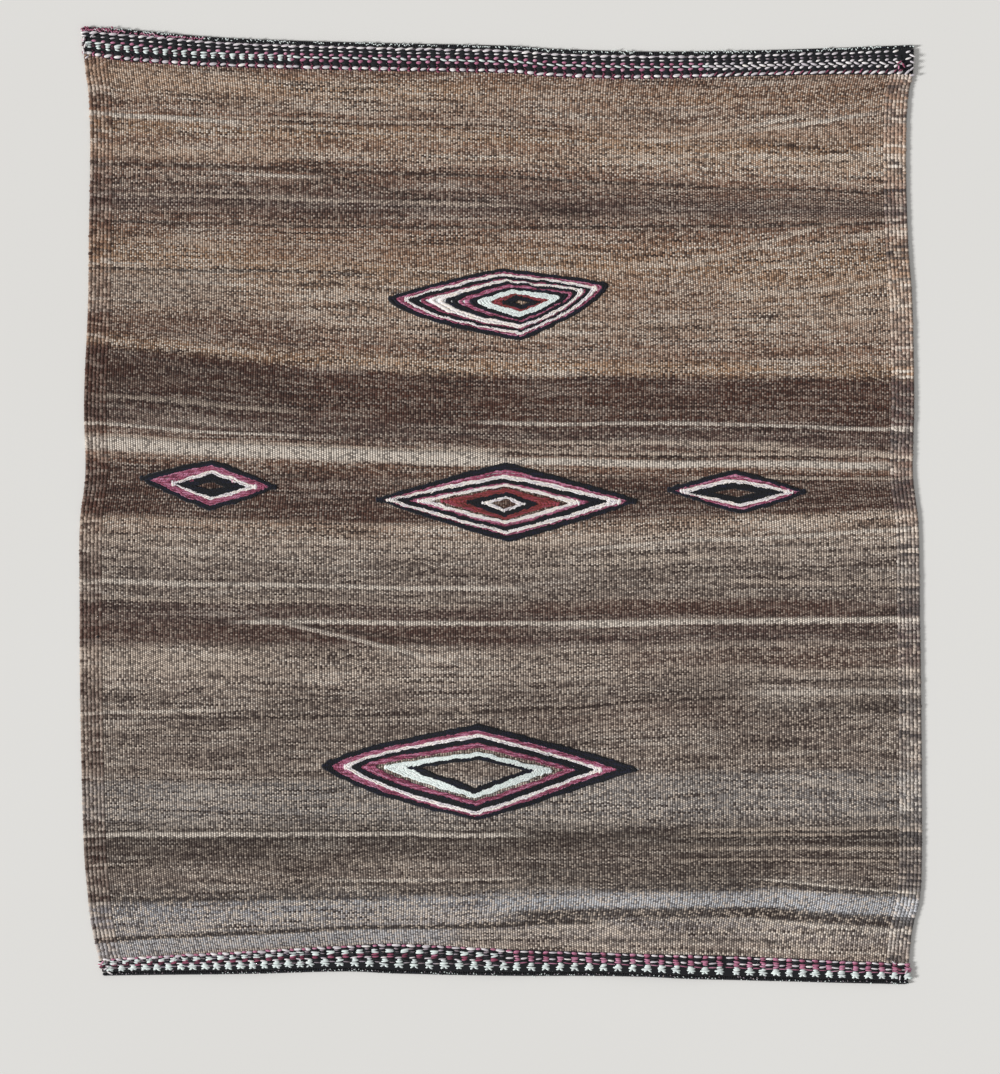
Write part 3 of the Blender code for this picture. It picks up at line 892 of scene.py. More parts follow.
def wrapping_tree():
    """Yarn wrapped along a path: a stitch at each spacing, over a flat core."""
    graph, given = start_tree("Wrapped yarn", WRAPPING_INPUTS)
    path = graph.add("GeometryNodeMeshToCurve", None, {"Mesh": given["Geometry"]})
    values = {"Curve": path, "Length": given["Spacing"]}
    stations = graph.node("GeometryNodeCurveToPoints", {"mode": "LENGTH"}, values)
    points = Link(graph, stations.outputs["Points"])
    tangent = Link(graph, stations.outputs["Tangent"])
    settings = {"axis": "X", "pivot_axis": "Z"}
    rotation = graph.add("FunctionNodeAlignRotationToVector", settings, {"Vector": tangent})
    stitches = lay_stitches(graph, given, points, rotation, given["Length"], own_number(graph, "width"))
    level = graph.add("GeometryNodeSetCurveNormal", {"mode": "Z_UP"}, {"Curve": path})
    values = {"Resolution": CORE_SIDES, "Radius": 0.5}
    section = graph.add("GeometryNodeCurvePrimitiveCircle", {"mode": "RADIUS"}, values)
    flat = graph.add("GeometryNodeTransform", None, {"Geometry": section, "Scale": CORE_SECTION})
    thick = own_number(graph, "width") * given["Core"]
    values = {"Curve": level, "Profile Curve": flat, "Scale": thick, "Fill Caps": True}
    core = graph.add("GeometryNodeCurveToMesh", None, values)
    # Painted shade: the core's fixed tone darkens it where it shows between the stitches.
    values = {"Geometry": core, "Name": "tone", "Value": CORE_SHADE_TONE}
    core = graph.add("GeometryNodeStoreNamedAttribute", {"data_type": "FLOAT", "domain": "POINT"}, values)
    joined = graph.node("GeometryNodeJoinGeometry")
    graph.tree.links.new(core.socket, joined.inputs[0])
    graph.tree.links.new(stitches.socket, joined.inputs[0])
    return end_tree(graph, given, Link(graph, joined.outputs[0]))


def float_tree():
    """Single floats of yarn, one on each point, as long, wide and turned as the point says."""
    graph, given = start_tree("Laid floats", STITCH_INPUTS)
    points = graph.add("GeometryNodeMeshToPoints", None, {"Mesh": given["Geometry"]})
    turned = graph.vector(0.0, 0.0, own_number(graph, "turn"))
    rotation = graph.add("FunctionNodeEulerToRotation", None, {0: turned})
    run, width = own_number(graph, "run"), own_number(graph, "width")
    shape = lay_stitches(graph, given, points, rotation, run, width)
    return end_tree(graph, given, shape)


def set_input(modifier, tree, label, value):
    """Sets an input of a tree by its socket's identifier."""
    for item in tree.interface.items_tree:
        if item.item_type == "SOCKET" and item.in_out == "INPUT" and item.name == label:
            modifier[item.identifier] = value


def grown(name, points, edges, numbers, tree, settings):
    """Runs a tree on points or paths and keeps what it makes as a plain mesh."""
    mesh = bpy.data.meshes.new(name)
    mesh.from_pydata(points, edges, [])
    for label, values in numbers.items():
        mesh.attributes.new(label, "FLOAT", "POINT").data.foreach_set("value", values)
    piece = bpy.data.objects.new(name, mesh)
    bpy.context.scene.collection.objects.link(piece)
    modifier = piece.modifiers.new("stitches", "NODES")
    modifier.node_group = tree
    for label, value in settings.items():
        set_input(modifier, tree, label, value)
    depsgraph = bpy.context.evaluated_depsgraph_get()
    real = bpy.data.meshes.new_from_object(
        piece.evaluated_get(depsgraph), preserve_all_data_layers=True, depsgraph=depsgraph
    )
    piece.modifiers.clear()
    piece.data = real
    real.name = name
    return piece


def hand_over(piece, slot, *nodes):
    """Fixes a finished piece to the cloth's body and hides the nodes it stands for; its slot is not used.
    """
    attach(piece, "root")
    if nodes:
        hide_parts(*nodes)
    return piece


# The ground


def rib_bounds():
    """Where the ribs' creases lie, as shares of the field, a little uneven as handspun warps are."""
    chance = np.random.default_rng(SEED)
    middle = np.arange(RIBS) / RIBS
    widths = 1 + 0.06 * np.sin(math.pi * middle) + RIB_UNEVENNESS * chance.standard_normal(RIBS)
    bounds = np.concatenate(([0], np.cumsum(widths)))
    return bounds / bounds[-1]


def ground_columns():
    """Lengthwise lines of the ground: side, distance in from the edge or share of the field, height
    and rib number."""
    columns = []
    for cord in range(SELVEDGE_CORDS):
        for share, rise in ((0, 0), (CORD_SHOULDERS[0], 1), (CORD_SHOULDERS[1], 1)):
            inset = (cord + share) * CORD_PITCH
            columns.append(("left", inset, rise * CORD_RELIEF, cord - SELVEDGE_CORDS + share - 0.5))
    bounds = rib_bounds()
    for rib, (start, end) in enumerate(itertools.pairwise(bounds)):
        for share, rise in ((0, 0), (RIB_SHOULDERS[0], 1), (RIB_SHOULDERS[1], 1)):
            columns.append(("field", start + (end - start) * share, rise * RIB_HEIGHT, rib + share - 0.5))
    columns.append(("field", 1.0, 0, RIBS - 0.5))
    for cord in reversed(range(SELVEDGE_CORDS)):
        for share, rise in ((CORD_SHOULDERS[1], 1), (CORD_SHOULDERS[0], 1), (0, 0)):
            inset = (cord + share) * CORD_PITCH
            columns.append(("right", inset, rise * CORD_RELIEF, RIBS + SELVEDGE_CORDS - cord - share - 0.5))
    return columns


def ground_rows():
    """Crosswise lines from the bottom end to the top one."""
    rows = [cloth_bottom_end]
    for k in range(FIELD_ROWS + 1):
        share = k / FIELD_ROWS
        rows.append(lambda x, share=share: bottom_field_line(x) * (1 - share) + top_field_line(x) * share)
    return [*rows, cloth_top_end]


def woven_cloth(material):
    """The whole ground in one closed sheet, its face ribbed and its underside plain."""
    columns, rows = ground_columns(), ground_rows()
    side = np.array([column[0] for column in columns])
    inset, rise, rib = (np.array([column[k] for column in columns]) for k in (1, 2, 3))
    grid_x, grid_y = [], []
    for height_at in rows:
        y = np.full(len(columns), float(height_at(0.0)))
        for _ in range(2):
            left, right = left_edge(y), right_edge(y)
            field = left + SELVEDGE + inset * (right - left - 2 * SELVEDGE)
            x = np.where(side == "left", left + inset, np.where(side == "right", right - inset, field))
            y = height_at(x)
        grid_x.append(x)
        grid_y.append(y)
    x, y = np.array(grid_x), np.array(grid_y)
    raised = lift(x, y)
    flat_end = np.ones(len(rows))
    flat_end[[0, -1]] = 0
    top = np.stack([x, y, raised + THICKNESS - RIB_HEIGHT + rise * flat_end[:, None]], -1)
    under = np.stack([x, y, raised], -1)
    kept = sorted({0, len(columns) - 1, *range(0, len(columns), UNDERSIDE_STEP)})
    wide, tall = len(columns), len(rows)

    def upper(r, c):
        return r * wide + c

    def lower(r, k):
        return tall * wide + r * len(kept) + k

    faces = []
    for r in range(tall - 1):
        spans = range(wide - 1)
        faces += [(upper(r, c), upper(r, c + 1), upper(r + 1, c + 1), upper(r + 1, c)) for c in spans]
        spans = range(len(kept) - 1)
        faces += [(lower(r, k), lower(r + 1, k), lower(r + 1, k + 1), lower(r, k + 1)) for k in spans]
        faces.append((upper(r, 0), upper(r + 1, 0), lower(r + 1, 0), lower(r, 0)))
        last = len(kept) - 1
        faces.append((upper(r, wide - 1), lower(r, last), lower(r + 1, last), upper(r + 1, wide - 1)))
    for r in (0, tall - 1):
        for k, (a, b) in enumerate(itertools.pairwise(kept)):
            edge = [upper(r, c) for c in range(a, b + 1)] + [lower(r, k + 1), lower(r, k)]
            faces.append(edge[::-1] if r == 0 else edge)
    points = np.concatenate([top.reshape(-1, 3), under[:, kept].reshape(-1, 3)])
    mesh = bpy.data.meshes.new("woven_cloth")
    mesh.from_pydata(points.tolist(), [], faces)
    ribs = np.concatenate([np.tile(rib, tall), np.tile(rib[kept], tall)])
    along = weft_place(points[:, 0], points[:, 1]) / MM
    corner = np.empty(len(mesh.loops), np.int32)
    mesh.loops.foreach_get("vertex_index", corner)
    weave = mesh.uv_layers.new(name="weave")
    weave.data.foreach_set("uv", np.stack([ribs[corner], along[corner]], -1).astype(np.float32).ravel())
    mesh.shade_smooth()
    mesh.materials.append(material)
    piece = bpy.data.objects.new("woven_cloth", mesh)
    bpy.context.scene.collection.objects.link(piece)
    return hand_over(piece, "camel_wool", "cloth")


# The selvedges

SELVEDGE_STEPS = 120
SELVEDGE_START = 30 * MM - LENGTH / 2
SELVEDGE_END = LENGTH / 2 - 50 * MM
TURN_WIDTH = 6.2 * MM
TURN_SINK = 0.3 * MM


def selvedge(name, edge, inwards, wrapping, material):
    """The turns of weft round the six cords of one selvedge."""
    points, edges, along = [], [], []
    for cord in range(SELVEDGE_CORDS):
        inset = (cord + 0.5) * CORD_PITCH
        for step in range(SELVEDGE_STEPS + 1):
            y = SELVEDGE_START + (SELVEDGE_END - SELVEDGE_START) * step / SELVEDGE_STEPS
            x = edge(y) + inwards * inset
            low, high = bottom_field_line(x), top_field_line(x)
            y = low + (high - low) * step / SELVEDGE_STEPS
            x = float(edge(y) + inwards * inset)
            points.append((x, float(y), float(lift(x, y)) + THICKNESS - TURN_SINK))
            along.append(float(weft_place(np.array([x]), np.array([y]))[0]) / MM)
            if step:
                edges.append((len(points) - 2, len(points) - 1))
    settings = {
        "Spacing": TURN_MM * MM,
        "Length": 4.8 * MM,
        "Core": 0.6,
        "Height": 2.5 * MM,
        "Slant": 0.3 * inwards,
        "Turn": 0.5,
        "Unevenness": 0.28,
        "Drift": 0.7 * MM,
        "Seed": SEED + int(inwards),
        "Wool": material,
    }
    numbers = {"width": [TURN_WIDTH] * len(points), "along": along}
    piece = grown(name, points, edges, numbers, wrapping, settings)
    return hand_over(piece, "camel_wool")


# The ends

End = namedtuple("End", "name field_line cloth_end edge outwards")
ENDS = (
    End("top", top_field_line, cloth_top_end, top_edge, 1),
    End("bottom", bottom_field_line, cloth_bottom_end, bottom_edge, -1),
)

# The brocaded floats. Shares run from the field to the binding and the phase along one repeat,
# 0 to 1. Sizes are in mm, and a pile is that many floats one above another.
Float = namedtuple("Float", "wool share phase run width slant pile")
FIELD_SIDE_DASHES = (
    Float("white", 0.10, 0.50, 9.4, 4.4, 4, 1),
    Float("rose", 0.03, 0.00, 4.8, 2.6, -35, 1),
    Float("rose", 0.13, 0.01, 5.2, 2.6, 45, 1),
    Float("wine", 0.22, -0.01, 4.6, 2.3, -40, 1),
)
LADDER = (
    Float("navy", 0.65, 0.50, 9.0, 3.4, 0, 1),
    Float("navy", 0.80, 0.50, 9.0, 3.6, 0, 1),
    Float("pink", 0.62, 0.02, 6.2, 3.6, 6, 1),
    Float("white", 0.775, 0.02, 6.4, 2.3, 0, 1),
    Float("grey", 0.945, 0.50, 8.0, 1.2, 0, 1),
    Float("white", 0.935, 0.02, 9.2, 3.8, 6, 1),
)
CHEQUER = (
    *FIELD_SIDE_DASHES,
    Float("navy", 0.24, 0.50, 9.2, 3.4, 0, 1),
    Float("mint", 0.35, 0.51, 5.6, 2.8, -10, 1),
    Float("mint", 0.43, 0.50, 7.6, 3.2, 4, 1),
    Float("mint", 0.52, 0.48, 9.2, 3.2, 8, 1),
    Float("wine", 0.44, 0.00, 5.2, 3.0, 0, 2),
    *LADDER,
)
BRAID = (
    *FIELD_SIDE_DASHES,
    Float("navy", 0.27, 0.50, 9.0, 3.6, 0, 2),
    Float("pink", 0.38, 0.00, 6.8, 4.2, 12, 1),
    Float("mint", 0.50, 0.50, 10.0, 3.0, -8, 1),
    Float("wine", 0.52, 0.01, 4.6, 2.6, 0, 1),
    *LADDER,
)
SLANTED_BRAID = (
    Float("white", 0.10, 0.50, 9.4, 3.6, 22, 1),
    Float("rose", 0.16, 0.02, 6.6, 1.9, 50, 1),
    Float("navy", 0.27, 0.50, 8.4, 3.4, 0, 2),
    Float("white", 0.36, 0.00, 6.8, 3.5, 24, 1),
    Float("white", 0.48, 0.48, 9.6, 3.3, -14, 1),
    Float("white", 0.61, 0.00, 6.0, 3.2, 12, 1),
    Float("navy", 0.69, 0.50, 8.0, 3.6, 0, 2),
    Float("grey", 0.765, 0.02, 4.6, 2.1, 0, 1),
    Float("white", 0.93, 0.00, 7.8, 3.2, 14, 1),
)
STAR = (
    Float("mint", 0.60, 0.66, 6.6, 3.2, 0, 1),
    Float("mint", 0.68, 0.65, 9.6, 3.4, 6, 1),
    Float("mint", 0.78, 0.64, 11.6, 3.4, -4, 1),
    Float("mint", 0.86, 0.53, 5.0, 2.8, 28, 1),
    Float("mint", 0.87, 0.77, 5.0, 2.8, -24, 1),
)
CHEQUER_AND_STARS = (
    Float("white", 0.06, 0.42, 10.6, 4.0, -4, 1),
    Float("pink", 0.05, 0.95, 7.0, 3.4, 0, 1),
    Float("navy", 0.16, 0.00, 9.5, 3.0, 0, 1),
    Float("grey", 0.17, 0.45, 7.2, 2.8, 0, 1),
    Float("mint", 0.27, 0.00, 10.0, 3.5, 6, 2),
    Float("navy", 0.30, 0.50, 8.4, 3.4, 0, 2),
    Float("grey", 0.30, 0.50, 6.8, 1.4, 0, 1),
    Float("rose", 0.45, 0.02, 8.6, 3.2, 6, 2),
    Float("navy", 0.44, 0.52, 8.0, 2.6, 0, 1),
    Float("white", 0.52, 0.55, 8.6, 2.4, 0, 1),
    Float("navy", 0.60, 0.05, 9.6, 3.0, 0, 1),
    Float("grey", 0.71, 0.15, 8.6, 1.6, 0, 1),
    *STAR,
)
LADDER_AND_STARS = (
    Float("white", 0.09, 0.15, 9.6, 3.2, -4, 1),
    Float("pink", 0.08, 0.65, 7.2, 3.6, 0, 1),
    Float("rose", 0.15, 0.65, 6.6, 2.0, 0, 1),
    Float("navy", 0.24, 0.15, 10.4, 3.6, 0, 2),
    Float("pink", 0.30, 0.64, 8.8, 2.6, -6, 1),
    Float("white", 0.39, 0.15, 9.4, 3.0, 0, 1),
    Float("pink", 0.43, 0.65, 7.8, 2.8, 0, 2),
    Float("navy", 0.50, 0.15, 10.0, 2.8, 0, 1),
    Float("pink", 0.575, 0.15, 11.0, 1.5, 0, 1),
    *STAR,
)
Stretch = namedtuple("Stretch", "start finish pitch floats")
TOP_STRETCHES = (
    Stretch(-604, -302, 13.9, CHEQUER),
    Stretch(-302, 300, 14.1, BRAID),
    Stretch(300, 590, 12.4, SLANTED_BRAID),
)
BOTTOM_STRETCHES = (
    Stretch(-578, -290, 17.3, CHEQUER_AND_STARS),
    Stretch(-290, 10, 21.6, CHEQUER_AND_STARS),
    Stretch(10, 330, 21.0, LADDER_AND_STARS),
    Stretch(330, 592, 19.1, LADDER_AND_STARS),
)
FLOAT_HEIGHT = 2.2 * MM
FULLNESS = 1.2
BAND_SURFACE = THICKNESS + 0.6 * MM
STRIP_STEPS = 240

Profile = namedtuple("Profile", "share height")
BAND_SECTION = (
    Profile(0.00, -0.8),
    Profile(0.00, 0.2),
    Profile(0.06, 0.6),
    Profile(0.94, 0.6),
    Profile(1.00, 0.2),
    Profile(1.00, -0.8),
)


def on_band(end, x, share):
    """A point of an end band, at a share of the way from the field to the binding."""
    near, far = end.field_line(x), end.cloth_end(x)
    return float(near + (far - near) * share)


def band_ground(end, material):
    """The dark strip of weaving that shows between the brocaded floats."""
    maker = bmesh.new()
    loops = []
    for step in range(STRIP_STEPS + 1):
        loop = []
        for share, height in BAND_SECTION:
            x = (step / STRIP_STEPS - 0.5) * WIDTH
            y = on_band(end, x, share)
            x = float(left_edge(y) + step / STRIP_STEPS * (right_edge(y) - left_edge(y)))
            y = on_band(end, x, share)
            z = float(lift(x, y)) + THICKNESS + height * MM
            loop.append(maker.verts.new((x, y, z)))
        loops.append(loop)
    for before, after in itertools.pairwise(loops):
        for a in range(len(BAND_SECTION)):
            b = (a + 1) % len(BAND_SECTION)
            maker.faces.new((before[a], before[b], after[b], after[a]))
    maker.faces.new(loops[0])
    maker.faces.new(loops[-1])
    bmesh.ops.recalc_face_normals(maker, faces=maker.faces)
    mesh = bpy.data.meshes.new(f"{end.name}_band_ground")
    maker.to_mesh(mesh)
    maker.free()
    mesh.shade_smooth()
    mesh.set_sharp_from_angle(angle=math.radians(50))
    mesh.materials.append(material)
    piece = bpy.data.objects.new(mesh.name, mesh)
    bpy.context.scene.collection.objects.link(piece)
    return hand_over(piece, "navy_wool", f"end_band_{end.name}")


def band_floats(end, stretches, laying, materials):
    """The brocaded floats of one end, a piece for each wool."""
    chance = np.random.default_rng(SEED + len(stretches))
    by_wool = {}
    for stretch in stretches:
        repeats = round((stretch.finish - stretch.start) / stretch.pitch)
        for kind, repeat in itertools.product(stretch.floats, range(repeats)):
            points, numbers = by_wool.setdefault(kind.wool, ([], {"run": [], "width": [], "turn": []}))
            middle = (stretch.start + (repeat + kind.phase % 1) * stretch.pitch) * MM
            for level in range(kind.pile):
                x = middle + chance.normal(0, 0.5) * MM
                y = on_band(end, x, kind.share)
                y += (level - (kind.pile - 1) / 2) * kind.width * 0.92 * MM + chance.normal(0, 0.25) * MM
                points.append((x, y, float(lift(x, y)) + BAND_SURFACE))
                numbers["run"].append(kind.run * FULLNESS * MM)
                numbers["width"].append(kind.width * FULLNESS * MM)
                numbers["turn"].append(math.radians(kind.slant))
    for number, (wool, (points, numbers)) in enumerate(by_wool.items()):
        settings = {
            "Height": FLOAT_HEIGHT,
            "Turn": 0.16,
            "Unevenness": 0.18,
            "Drift": 0.3 * MM,
            "Seed": SEED + 10 * number,
            "Wool": materials[wool],
        }
        name = f"{end.name}_band_{wool}_floats"
        piece = grown(name, points, [], numbers, laying, settings)
        hand_over(piece, WOOLS[wool].slot)


BINDING_HEIGHT = 4.2 * MM
BINDING_SPACING = 3.3 * MM
BINDING_STEPS = 200
BINDING_MARGIN = 2 * MM


def overcast_end(end, wrapping, materials):
    """The dark yarn wound round and round the end edge."""
    points = []
    for step in range(BINDING_STEPS + 1):
        x = (step / BINDING_STEPS - 0.5) * WIDTH
        y = float(end.edge(x)) - end.outwards * BINDING_WIDTH / 2
        x = min(max(x, float(left_edge(y)) + BINDING_MARGIN), float(right_edge(y)) - BINDING_MARGIN)
        points.append((x, y, float(lift(x, y)) + BINDING_HEIGHT / 2))
    edges = list(itertools.pairwise(range(len(points))))
    settings = {
        "Spacing": BINDING_SPACING,
        "Length": 3.9 * MM,
        "Core": 0.9,
        "Height": BINDING_HEIGHT,
        "Slant": 0.3 * end.outwards,
        "Turn": 0.2,
        "Unevenness": 0.12,
        "Drift": 0.3 * MM,
        "Seed": SEED,
        "Wool": materials["navy"],
    }
    widths = {"width": [BINDING_WIDTH] * len(points)}
    piece = grown(f"{end.name}_binding", points, edges, widths, wrapping, settings)
    hand_over(piece, "navy_wool", f"end_binding_{end.name}")


# Short ends of other yarns caught in the binding, by the stretch that they lie in, how far in from
# the edge they lie and how thick they lie there. Sizes are in mm.
Caught = namedtuple("Caught", "end wool start finish inset stray gap run width share")
CAUGHT_ENDS = (
    Caught("top", "mint", -600, 600, 2.2, 1.0, 2.7, 3.4, 1.7, 0.62),
    Caught("top", "rose", -607, -556, 2.6, 1.4, 2.0, 4.6, 2.4, 0.9),
    Caught("top", "pink", -607, -430, 4.4, 0.9, 3.0, 4.4, 2.0, 0.75),
    Caught("top", "rose", -560, -440, 4.6, 0.8, 4.0, 4.2, 1.8, 0.6),
    Caught("bottom", "mint", -440, 590, 2.4, 1.1, 3.4, 2.4, 1.4, 0.4),
    Caught("bottom", "grey", -560, 590, 3.4, 1.2, 5.0, 2.4, 1.3, 0.4),
)
TUFTING = 0.3
LONG_TUFTS = 23
SHORT_TUFTS = 61


def caught_ends(laying, materials):
    """The short ends in the binding, which come in tufts."""
    for number, row in enumerate(CAUGHT_ENDS):
        chance = np.random.default_rng(SEED + 31 + number)
        end = next(end for end in ENDS if end.name == row.end)
        points, numbers = [], {"run": [], "width": [], "turn": []}
        x = row.start * MM
        while x < row.finish * MM:
            thick = row.share + TUFTING * math.sin(x * LONG_TUFTS + number) * math.sin(x * SHORT_TUFTS)
            if chance.random() < thick:
                y = float(end.edge(x)) - end.outwards * (row.inset + chance.normal(0, row.stray)) * MM
                points.append((x, y, float(lift(x, y)) + BINDING_HEIGHT - 0.3 * MM))
                numbers["run"].append(row.run * chance.uniform(0.6, 1.3) * MM)
                numbers["width"].append(row.width * chance.uniform(0.8, 1.2) * MM)
                numbers["turn"].append(chance.uniform(-1.2, 1.2))
            x += row.gap * chance.uniform(0.7, 1.3) * MM
        settings = {"Height": 1.7 * MM, "Seed": SEED + number, "Wool": materials[row.wool]}
        piece = grown(f"{row.end}_binding_ends_{number}", points, [], numbers, laying, settings)
        hand_over(piece, WOOLS[row.wool].slot)


# Single floats that belong to no row: where the middle of each lies on the cloth, its size and
# how far over the face it lies, in mm
Stray = namedtuple("Stray", "wool across along run width slant pile over")
STRAYS = (
    Stray("rose", -447, 37.5, 13, 3.2, 12, 2, 2.0),
    Stray("pink", -388, 35.5, 12, 3.4, -14, 2, 2.0),
    Stray("madder", -4, 298, 9, 3.4, 20, 2, 1.8),
    Stray("navy", 14, 664, 5, 2.6, 30, 2, 4.2),
    Stray("white", -446, 627, 2.8, 2.2, 70, 1, 1.2),
    Stray("navy", -584, -190, 4.5, 3.0, 10, 1, 2.6),
    Stray("wine", -460, -272, 4.0, 1.8, 25, 1, 0.9),
    Stray("white", 591, 658, 9, 3.4, 24, 1, 3.8),
    Stray("white", 597, 652, 9, 3.2, -28, 1, 4.0),
    Stray("white", 591, 648, 9, 3.2, 18, 1, 4.2),
    Stray("white", 597, 643, 9, 3.2, -20, 1, 4.0),
    Stray("white", 592, 638, 9, 3.2, 12, 1, 4.2),
    Stray("white", 596, 633, 10, 3.4, 34, 1, 4.0),
    Stray("white", 590, 628, 11, 3.6, 46, 1, 4.2),
    Stray("white", 597, 624, 10, 3.4, 16, 1, 4.0),
    Stray("rose", 578, 642, 8, 3.0, 30, 1, 4.6),
    Stray("rose", 584, 638, 8, 3.0, -60, 1, 4.6),
    Stray("rose", 580, 631, 8, 3.0, 24, 1, 4.6),
    Stray("pink", 577, 635, 6, 2.6, 80, 1, 4.8),
    Stray("white", -604, 676, 9, 3.0, 84, 1, 4.0),
    Stray("white", -602, 667, 9, 3.0, 70, 1, 4.2),
    Stray("white", -604, 658, 9, 3.0, 96, 1, 4.0),
    Stray("white", -599, 650, 8, 3.2, 30, 1, 3.8),
    Stray("white", -592, 681, 7, 2.6, 40, 1, 4.4),
    Stray("white", -572, -671, 9, 3.0, 30, 1, 3.8),
    Stray("white", -566, -677, 10, 2.8, -24, 1, 4.0),
    Stray("white", -560, -664, 9, 2.8, 12, 1, 3.8),
    Stray("pink", -577, -662, 8, 3.0, 50, 1, 4.0),
    Stray("white", 588, -676, 8, 2.6, 60, 1, 3.8),
    Stray("white", 579, -684, 8, 2.6, 84, 1, 4.0),
    Stray("rose", 578, -672, 9, 4.0, -20, 1, 4.0),
    Stray("white", 570, -662, 8, 2.4, -36, 1, 3.8),
)
STRAY_SINK = 1.4


def stray_floats(laying, materials):
    by_wool = {}
    for stray in STRAYS:
        points, numbers = by_wool.setdefault(stray.wool, ([], {"run": [], "width": [], "turn": []}))
        for level in range(stray.pile):
            x = stray.across * MM
            y = (stray.along + (level - (stray.pile - 1) / 2) * stray.width * 0.85) * MM
            points.append((x, y, float(lift(x, y)) + THICKNESS + (stray.over - STRAY_SINK) * MM))
            numbers["run"].append(stray.run * MM)
            numbers["width"].append(stray.width * MM)
            numbers["turn"].append(math.radians(stray.slant))
    for wool, (points, numbers) in by_wool.items():
        settings = {"Height": 2.0 * MM, "Seed": SEED, "Wool": materials[wool]}
        piece = grown(f"stray_{wool}_floats", points, [], numbers, laying, settings)
        hand_over(piece, WOOLS[wool].slot)


# The lozenges


def between(start, end, share):
    return tuple(a + (b - a) * share for a, b in zip(start, end))


def bulged_side(tip, apex, bulge, strength):
    """Points from a tip to the apex, on a side that swells outwards."""
    along = (apex[0] - tip[0], apex[1] - tip[1])
    length = math.hypot(*along)
    turn = 1 if (along[0] > 0) == (along[1] > 0) else -1
    outwards = (-turn * along[1] / length, turn * along[0] / length)
    warp = math.log(0.5) / math.log(bulge.fullest)
    points = []
    for step in range(SIDE_STEPS + 1):
        t = step / SIDE_STEPS
        swell = bulge.swell * strength * math.sin(math.pi * t**warp)
        x, y = between(tip, apex, t)
        points.append((x + outwards[0] * swell, y + outwards[1] * swell))
    return points


def lozenge_loop(lozenge, travelled):
    """The lozenge's outline once each corner has moved its travelled mm towards the heart."""
    totals = [sum(ring[1 + corner] for ring in lozenge.rings) for corner in range(4)]
    shares = [done / total for done, total in zip(travelled, totals)]
    left, top, right, bottom = (
        between(a, b, s) for a, b, s in zip(lozenge.outline, lozenge.heart, shares)
    )
    strength = 1 - sum(shares) / 4
    bulges = lozenge.bulges
    upper_left = bulged_side(left, top, bulges.upper_left, strength)
    upper_right = bulged_side(right, top, bulges.upper_right, strength)
    lower_right = bulged_side(right, bottom, bulges.lower_right, strength)
    lower_left = bulged_side(left, bottom, bulges.lower_left, strength)
    loop = upper_left[:-1] + upper_right[:0:-1] + lower_right[:-1] + lower_left[:0:-1]
    return [uneven_point(x, y) for x, y in loop]


# How the lozenges' points stray: the steps of noise for each mm across and along, the layer of the
# noise, and how far they go across and along, in mm
Straying = namedtuple("Straying", "across along layer reach_across reach_along")
HAND = Straying(0.07, 0.11, 1.5, 1.6, 2.0)


def uneven_point(x, y):
    """A point in mm moved a little, as a hand that counts no warps would place it, in metres."""
    stray = mathutils.noise.noise_vector((x * HAND.across, y * HAND.along, HAND.layer))
    return ((x + stray.x * HAND.reach_across) * MM, (y + stray.y * HAND.reach_along) * MM)


# How each wool lies in a ring: how much wider than its share, where it crowds its neighbours, and
# how far the middle of its yarn lies over the face of the cloth, in mm
Crowding = namedtuple("Crowding", "spread over")
CROWDING = {
    "navy": Crowding(1.9, 0.65),
    "white": Crowding(0.2, 0.7),
    "mint": Crowding(1.1, 0.75),
    "rose": Crowding(0.3, 0.45),
    "madder": Crowding(0.3, 0.45),
}
OTHER_WOOLS = {"top_lozenge_ring_10_white": "mint", "bottom_lozenge_ring_7_white": "mint"}
BED_SINK = 0.4 * MM
BED_RISE = 0.35 * MM


def lay_bed(mesh, outer, inner):
    """Adds to a ring the wool that lies flat under its strands. Its points carry no tone or ply, so the
    wool is painted in its darkest tones there: painted shade between the strands.
    """
    maker = bmesh.new()
    maker.from_mesh(mesh)
    rims = []
    for loop, height in ((outer, -BED_SINK), (outer, BED_RISE), (inner, BED_RISE), (inner, -BED_SINK)):
        rims.append([maker.verts.new((x, y, float(lift(x, y)) + THICKNESS + height)) for x, y in loop])
    for lower, upper in zip(rims, rims[1:] + rims[:1]):
        for a in range(len(lower)):
            b = (a + 1) % len(lower)
            maker.faces.new((lower[a], lower[b], upper[b], upper[a])[::-1])
    maker.to_mesh(mesh)
    maker.free()


